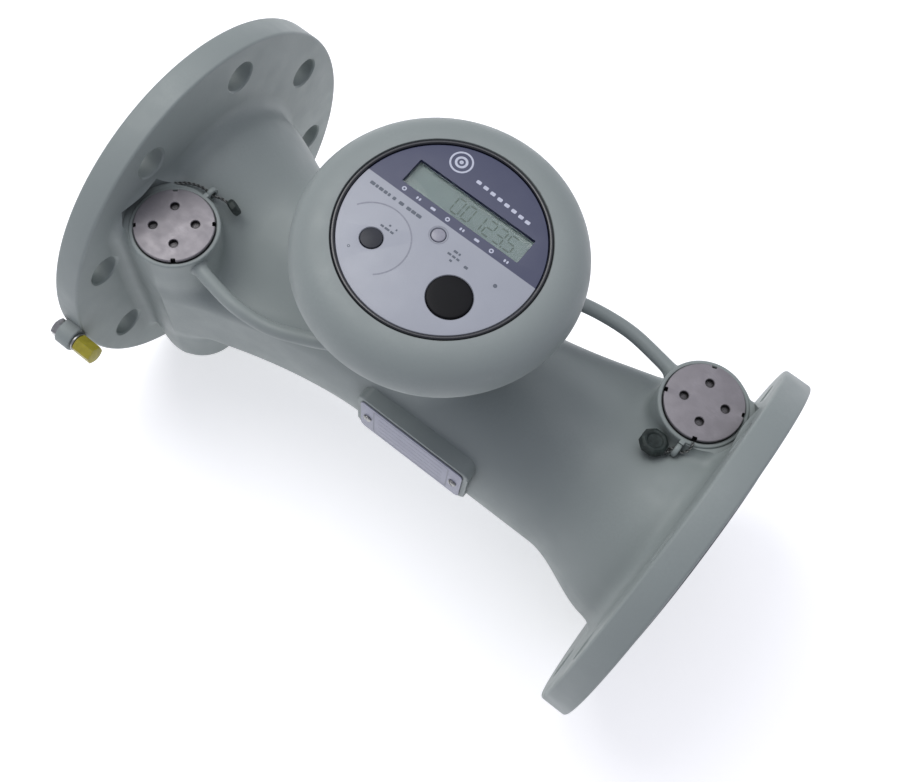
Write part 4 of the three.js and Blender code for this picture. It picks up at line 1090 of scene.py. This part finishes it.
def display_digits():
    """Faint seven-segment digits at the right end of the display."""
    top = GLASS_LOW[2] - GAP
    tall, wide, stroke = 8.2, 4.2, 0.75
    lit = {1: "bc", 2: "abged", 3: "abgcd", 5: "afgcd", 0: "abcdef"}
    shapes = []
    for i, digit in enumerate((0, 0, 1, 2, 3, 5)):
        x0 = LCD_X[1] - 4.6 - (6 - i) * 6.1
        y0 = (LCD_Y[0] + LCD_Y[1]) / 2 - tall / 2
        level = {"a": tall, "g": tall / 2, "d": 0}
        for name in lit[digit]:
            if name in level:
                y = y0 + level[name]
                span = (x0 + stroke * 0.6, x0 + (wide - stroke * 0.6))
                outline = rectangle(span, (y - stroke / 2, y + stroke / 2), 0.2, 2)
            else:
                x = x0 + (wide if name in "bc" else 0)
                y = y0 + (tall / 2 if name in "bf" else 0)
                outline = rectangle((x - stroke / 2, x + stroke / 2), (y + 0.5, y + tall / 2 - 0.5), 0.2, 2)
            shapes.append(prism(outline, top, top + MARK_T))
        if i == 4:
            point = rectangle((x0 + wide + 0.7, x0 + wide + 1.5), (y0 - 0.4, y0 + 0.4))
            shapes.append(prism(point, top, top + MARK_T))
    piece("display_digits", together(*shapes), SEGMENTS)


def display_window():
    shape = prism(rectangle((GLASS_LOW[0], GLASS_HIGH[0]), (GLASS_LOW[1], GLASS_HIGH[1]), 0.4),
                  GLASS_LOW[2], GLASS_HIGH[2], 0.15)
    piece("display_pane", shape, GLASS, stands_for=["display_window"])


def display_button():
    """A round push button: slightly domed, on a flange and a stem."""
    low, top = BUTTON_LOW[2], BUTTON_HIGH[2]
    stop = DIAL_LOW[2] - 0.5
    dome = [(BUTTON_R * math.sin(a), top - 0.55 + 0.55 * math.cos(a)) for a in quarter(14)[:-2]]
    rim = [(BUTTON_R - 0.05, top - 0.62), (BUTTON_R, top - 0.95)]
    profile = [(0, low), (3, low), (3, stop - 1.6), (BUTTON_R + 1.4, stop - 1.6), (BUTTON_R + 1.4, stop),
               (BUTTON_R, stop), *rim[::-1], *dome[::-1]]
    piece("push_button", moved(revolve(profile, 96), *BUTTON_AT), BUTTON, body="button",
          stands_for=["display_button"], sharp=35)


def return_spring():
    """The button's coil spring."""
    low, high = extent("button_spring")
    middle = (low + high) / 2
    radius = (high[0] - low[0]) / 2 - SPRING_WIRE_R
    steps = SPRING_COILS * 24
    turn = np.linspace(0, 2 * math.pi * SPRING_COILS, steps + 1)
    rise = np.linspace(low[2] + SPRING_WIRE_R, high[2] - SPRING_WIRE_R, steps + 1)
    route = np.stack([middle[0] + radius * np.cos(turn), middle[1] + radius * np.sin(turn), rise], 1)
    spring = piece("return_spring", tube(route, SPRING_WIRE_R, 10), STEEL,
                   stands_for=["button_spring"])
    tuple(np.array((*middle[:2], low[2])) * MM)
    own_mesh(spring)


def lens(name, node, at, radius, bevel, finish):
    low, high = extent(node)
    shape = moved(rod(radius, low[2], high[2], bevel, 72), *at)
    piece(name, shape, finish, stands_for=[node], sharp=40)


dial_plate()
marks_on_dial()
display_digits()
display_window()
display_button()
return_spring()
lens("optical_port", "optical_window", PORT_AT, PORT_R, 0.3, WINDOW)
lens("status_lamp", "lamp_window", LAMP_AT, LAMP_R, 0.5, LENS)


# ---------------------------------------------------------------- name plate, screws and earth bolt
def to_side(shape):
    """What was drawn in X and Z and raised along +Z, turned to stand out along -Y."""
    return spun(shape, math.pi / 2, "X")


def name_plate():
    """A blank plate with a pressed border and plain rulings."""
    low, high = PLATE_LOW, PLATE_HIGH
    face = -low[1]
    blank = to_side(prism(rectangle((low[0], high[0]), (low[2], high[2]), 3), -high[1], face, 0.2))
    middle = (low[2] + high[2]) / 2
    holes = []
    for i in (1, 2):
        a, b = extent(f"name_plate_screw_{i}")
        holes.append(to_side(moved(rod(1.6, -high[1] - 2, face + 2), (a[0] + b[0]) / 2, middle)))
    frame_w = 0.8
    inner = ((low[0] + 9.5, high[0] - 9.5), (low[2] + 3, high[2] - 3))
    outer = ((inner[0][0] - frame_w, inner[0][1] + frame_w), (inner[1][0] - frame_w, inner[1][1] + frame_w))
    piece("blank_name_plate", carved(blank, cut=holes), PLATE, stands_for=["name_plate"])
    ink = [carved(to_side(prism(rectangle(*outer, 1.5), face, face + MARK_T)),
                  cut=[to_side(prism(rectangle(*inner, 1), face - 1, face + 1))])]
    for i in range(1, 5):
        z = inner[1][0] + (inner[1][1] - inner[1][0]) * i / 5
        ruling = rectangle((inner[0][0] + 3, inner[0][1] - 3), (z - 0.15, z + 0.15))
        ink.append(to_side(prism(ruling, face, face + MARK_T)))
    piece("name_plate_rulings", together(*ink), INK_PLATE)


def slotted_screw(node, index):
    low, high = extent(node)
    x, z = (low[0] + high[0]) / 2, (low[2] + high[2]) / 2
    length = high[1] - low[1]
    head = [(0, 0), (1.3, 0), (1.3, length - 1.4), (2.6, length - 1.4), (2.55, length - 0.9),
            (2.1, length - 0.35),
            (1.2, length - 0.06), (0, length)]
    slot = prism(rectangle((-3, 3), (-0.35, 0.35)), length - 0.8, length + 1)
    shape = carved(revolve(head, 48), cut=[spun(slot, 0.5 + 0.9 * index)])
    shape = moved(to_side(shape), x, high[1], z)
    piece(f"plate_screw_{index}", shape, STEEL, stands_for=[node])


def hexagon(across):
    r = across / math.sqrt(3)
    return [(r * math.cos(a), r * math.sin(a)) for a in np.arange(6) * math.pi / 3]


def chamfered_hexagon(across, low, high, both=False):
    """A hexagon with its corners turned away at one end or both."""
    corner, cut = across / math.sqrt(3), 0.55
    ring = across / 2 * 0.97
    waste = [revolve([(ring, high), (corner + 2, high - cut * 2.2), (corner + 2, high + 2),
                      (ring, high + 2)], 72)]
    if both:
        waste.append(revolve([(ring, low), (corner + 2, low + cut * 2.2), (corner + 2, low - 2),
                              (ring, low - 2)], 72))
    return carved(prism(hexagon(across), low, high), cut=waste)


def on_bolt(shape):
    return moved(along_x(shape), 0, EARTH_Y, EARTH_Z)


def threaded(radius, low, high, pitch=1.0, depth=0.3):
    """A screw thread drawn as close rings."""
    turns = int((high - low) / pitch)
    profile = [(0, low), (radius - depth, low)]
    for i in range(turns):
        z = low + i * pitch
        profile += [(radius - depth, z + pitch * 0.15), (radius, z + pitch * 0.45), (radius, z + pitch * 0.6),
                    (radius - depth, z + pitch * 0.9)]
    return revolve([*profile, (radius - depth, high), (0, high)], 40)


def earth_bolt():
    low, high = extent("earth_bolt")
    head_end = low[0] + 4
    across = 10
    head = chamfered_hexagon(across, -head_end, -low[0])
    head = (head[0] * (1, 1, -1), [f[::-1] for f in head[1]])
    shape = carved(head, [threaded(3, head_end - 0.5, high[0])])
    piece("hex_earth_bolt", on_bolt(shape), STEEL, stands_for=["earth_bolt"], sharp=25)
    washer = filleted([(3.3, WASHER_LOW[0], 0.2), (5.6, WASHER_LOW[0], 0.3), (5.6, WASHER_HIGH[0], 0.3),
                       (3.3, WASHER_HIGH[0], 0.2)], 3)
    piece("round_earth_washer", on_bolt(revolve(washer, 64)), STEEL,
          stands_for=["earth_washer"])
    nut = chamfered_hexagon(across, NUT_LOW[0], NUT_HIGH[0], both=True)
    nut = carved(nut, cut=[rod(3.3, NUT_LOW[0] - 1, NUT_HIGH[0] - 1.5, segments=40)])
    piece("long_earth_nut", on_bolt(nut), YELLOW, stands_for=["earth_nut"], sharp=25)


name_plate()
for number in (1, 2):
    slotted_screw(f"name_plate_screw_{number}", number)
earth_bolt()


# ---------------------------------------------------------------- finishes of the frame's own pieces
FINISHES = {
    "battery": BATTERY, "battery_holder": HOLDER, "circuit_board": BOARD, "button_switch": COMPONENT,
    "optical_sensor": COMPONENT, "display_module": LCD, "head_base_gasket": RUBBER, "head_bezel_gasket": RUBBER,
}
for end_name in ENDS:
    FINISHES[f"{end_name}_transducer"] = TRANSDUCER
    FINISHES[f"{end_name}_transducer_holder"] = HOLDER
    FINISHES[f"{end_name}_transducer_o_ring"] = RUBBER
    FINISHES[f"{end_name}_transducer_lead"] = SLEEVE
    FINISHES[f"{end_name}_cap_gasket"] = RUBBER
for number in (1, 2, 3):
    FINISHES[f"board_screw_{number}"] = STEEL
    FINISHES[f"head_base_screw_{number}"] = STEEL
for node, finish in FINISHES.items():
    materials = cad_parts[node].data.materials
    materials.clear()
    materials.append(finish)


# ---------------------------------------------------------------- floor, light and camera
CAMERA_AT = (131.93, -219.28, 629.87)
CAMERA_TARGET = (20.69, -8.0, 0)
CAMERA_LENS = 47.87
CAMERA_ROLL = 10.687     # degrees about the line of sight
FLOOR_GLOW = 0.5         # keeps the shadows on the floor pale
ROOM_LIGHT = 0.44


def floor():
    half, z = 6.0, CAD_BOX[0].z
    corners = [(-half, -half, z), (half, -half, z), (half, half, z), (-half, half, z)]
    obj = new_object("floor", corners, [(0, 1, 2, 3)])
    pale = Finish("floor", (0.9, 0.9, 0.91, 1.0), 0.9, specular=0.1)
    pale.shader.inputs["Emission Color"].default_value = (1.0, 1.0, 1.0, 1.0)
    pale.shader.inputs["Emission Strength"].default_value = FLOOR_GLOW
    obj.data.materials.append(pale.mottled(400, 0.01).material)


def softbox(name, direction, distance, size, power, colour):
    light = bpy.data.lights.new(name, "AREA")
    light.shape = "DISK"
    light.size = size
    light.energy = power
    light.color = colour
    obj = bpy.data.objects.new(name, light)
    bpy.context.scene.collection.objects.link(obj)
    towards = Vector(direction).normalized()
    obj.location = towards * distance
    obj.rotation_euler = towards.to_track_quat("Z", "Y").to_euler()


def studio():
    softbox("key", (-0.62, 0.06, 1.0), 2.2, 1.6, 21, (1.0, 0.995, 0.97))
    softbox("top", (-0.15, 0.35, 1.0), 2.6, 2.4, 17, (0.97, 0.98, 1.0))
    world = bpy.data.worlds.new("studio")
    bpy.context.scene.world = world
    world.use_nodes = True
    background = world.node_tree.nodes["Background"]
    background.inputs["Color"].default_value = (0.84, 0.85, 1.0, 1.0)
    background.inputs["Strength"].default_value = ROOM_LIGHT
    bpy.context.scene.view_settings.view_transform = "Standard"


def camera():
    """From above the -Y side, turned a little about the line of sight."""
    position, target = Vector(CAMERA_AT), Vector(CAMERA_TARGET)
    data = bpy.data.cameras.new("camera")
    data.lens = CAMERA_LENS
    obj = bpy.data.objects.new("camera", data)
    bpy.context.scene.collection.objects.link(obj)
    look = (target - position).to_track_quat("-Z", "Y")
    roll = Matrix.Rotation(math.radians(CAMERA_ROLL), 3, "Z").to_quaternion()
    obj.rotation_mode = "QUATERNION"
    obj.rotation_quaternion = look @ roll
    obj.location = position * MM
    bpy.context.scene.camera = obj


floor()
studio()
camera()
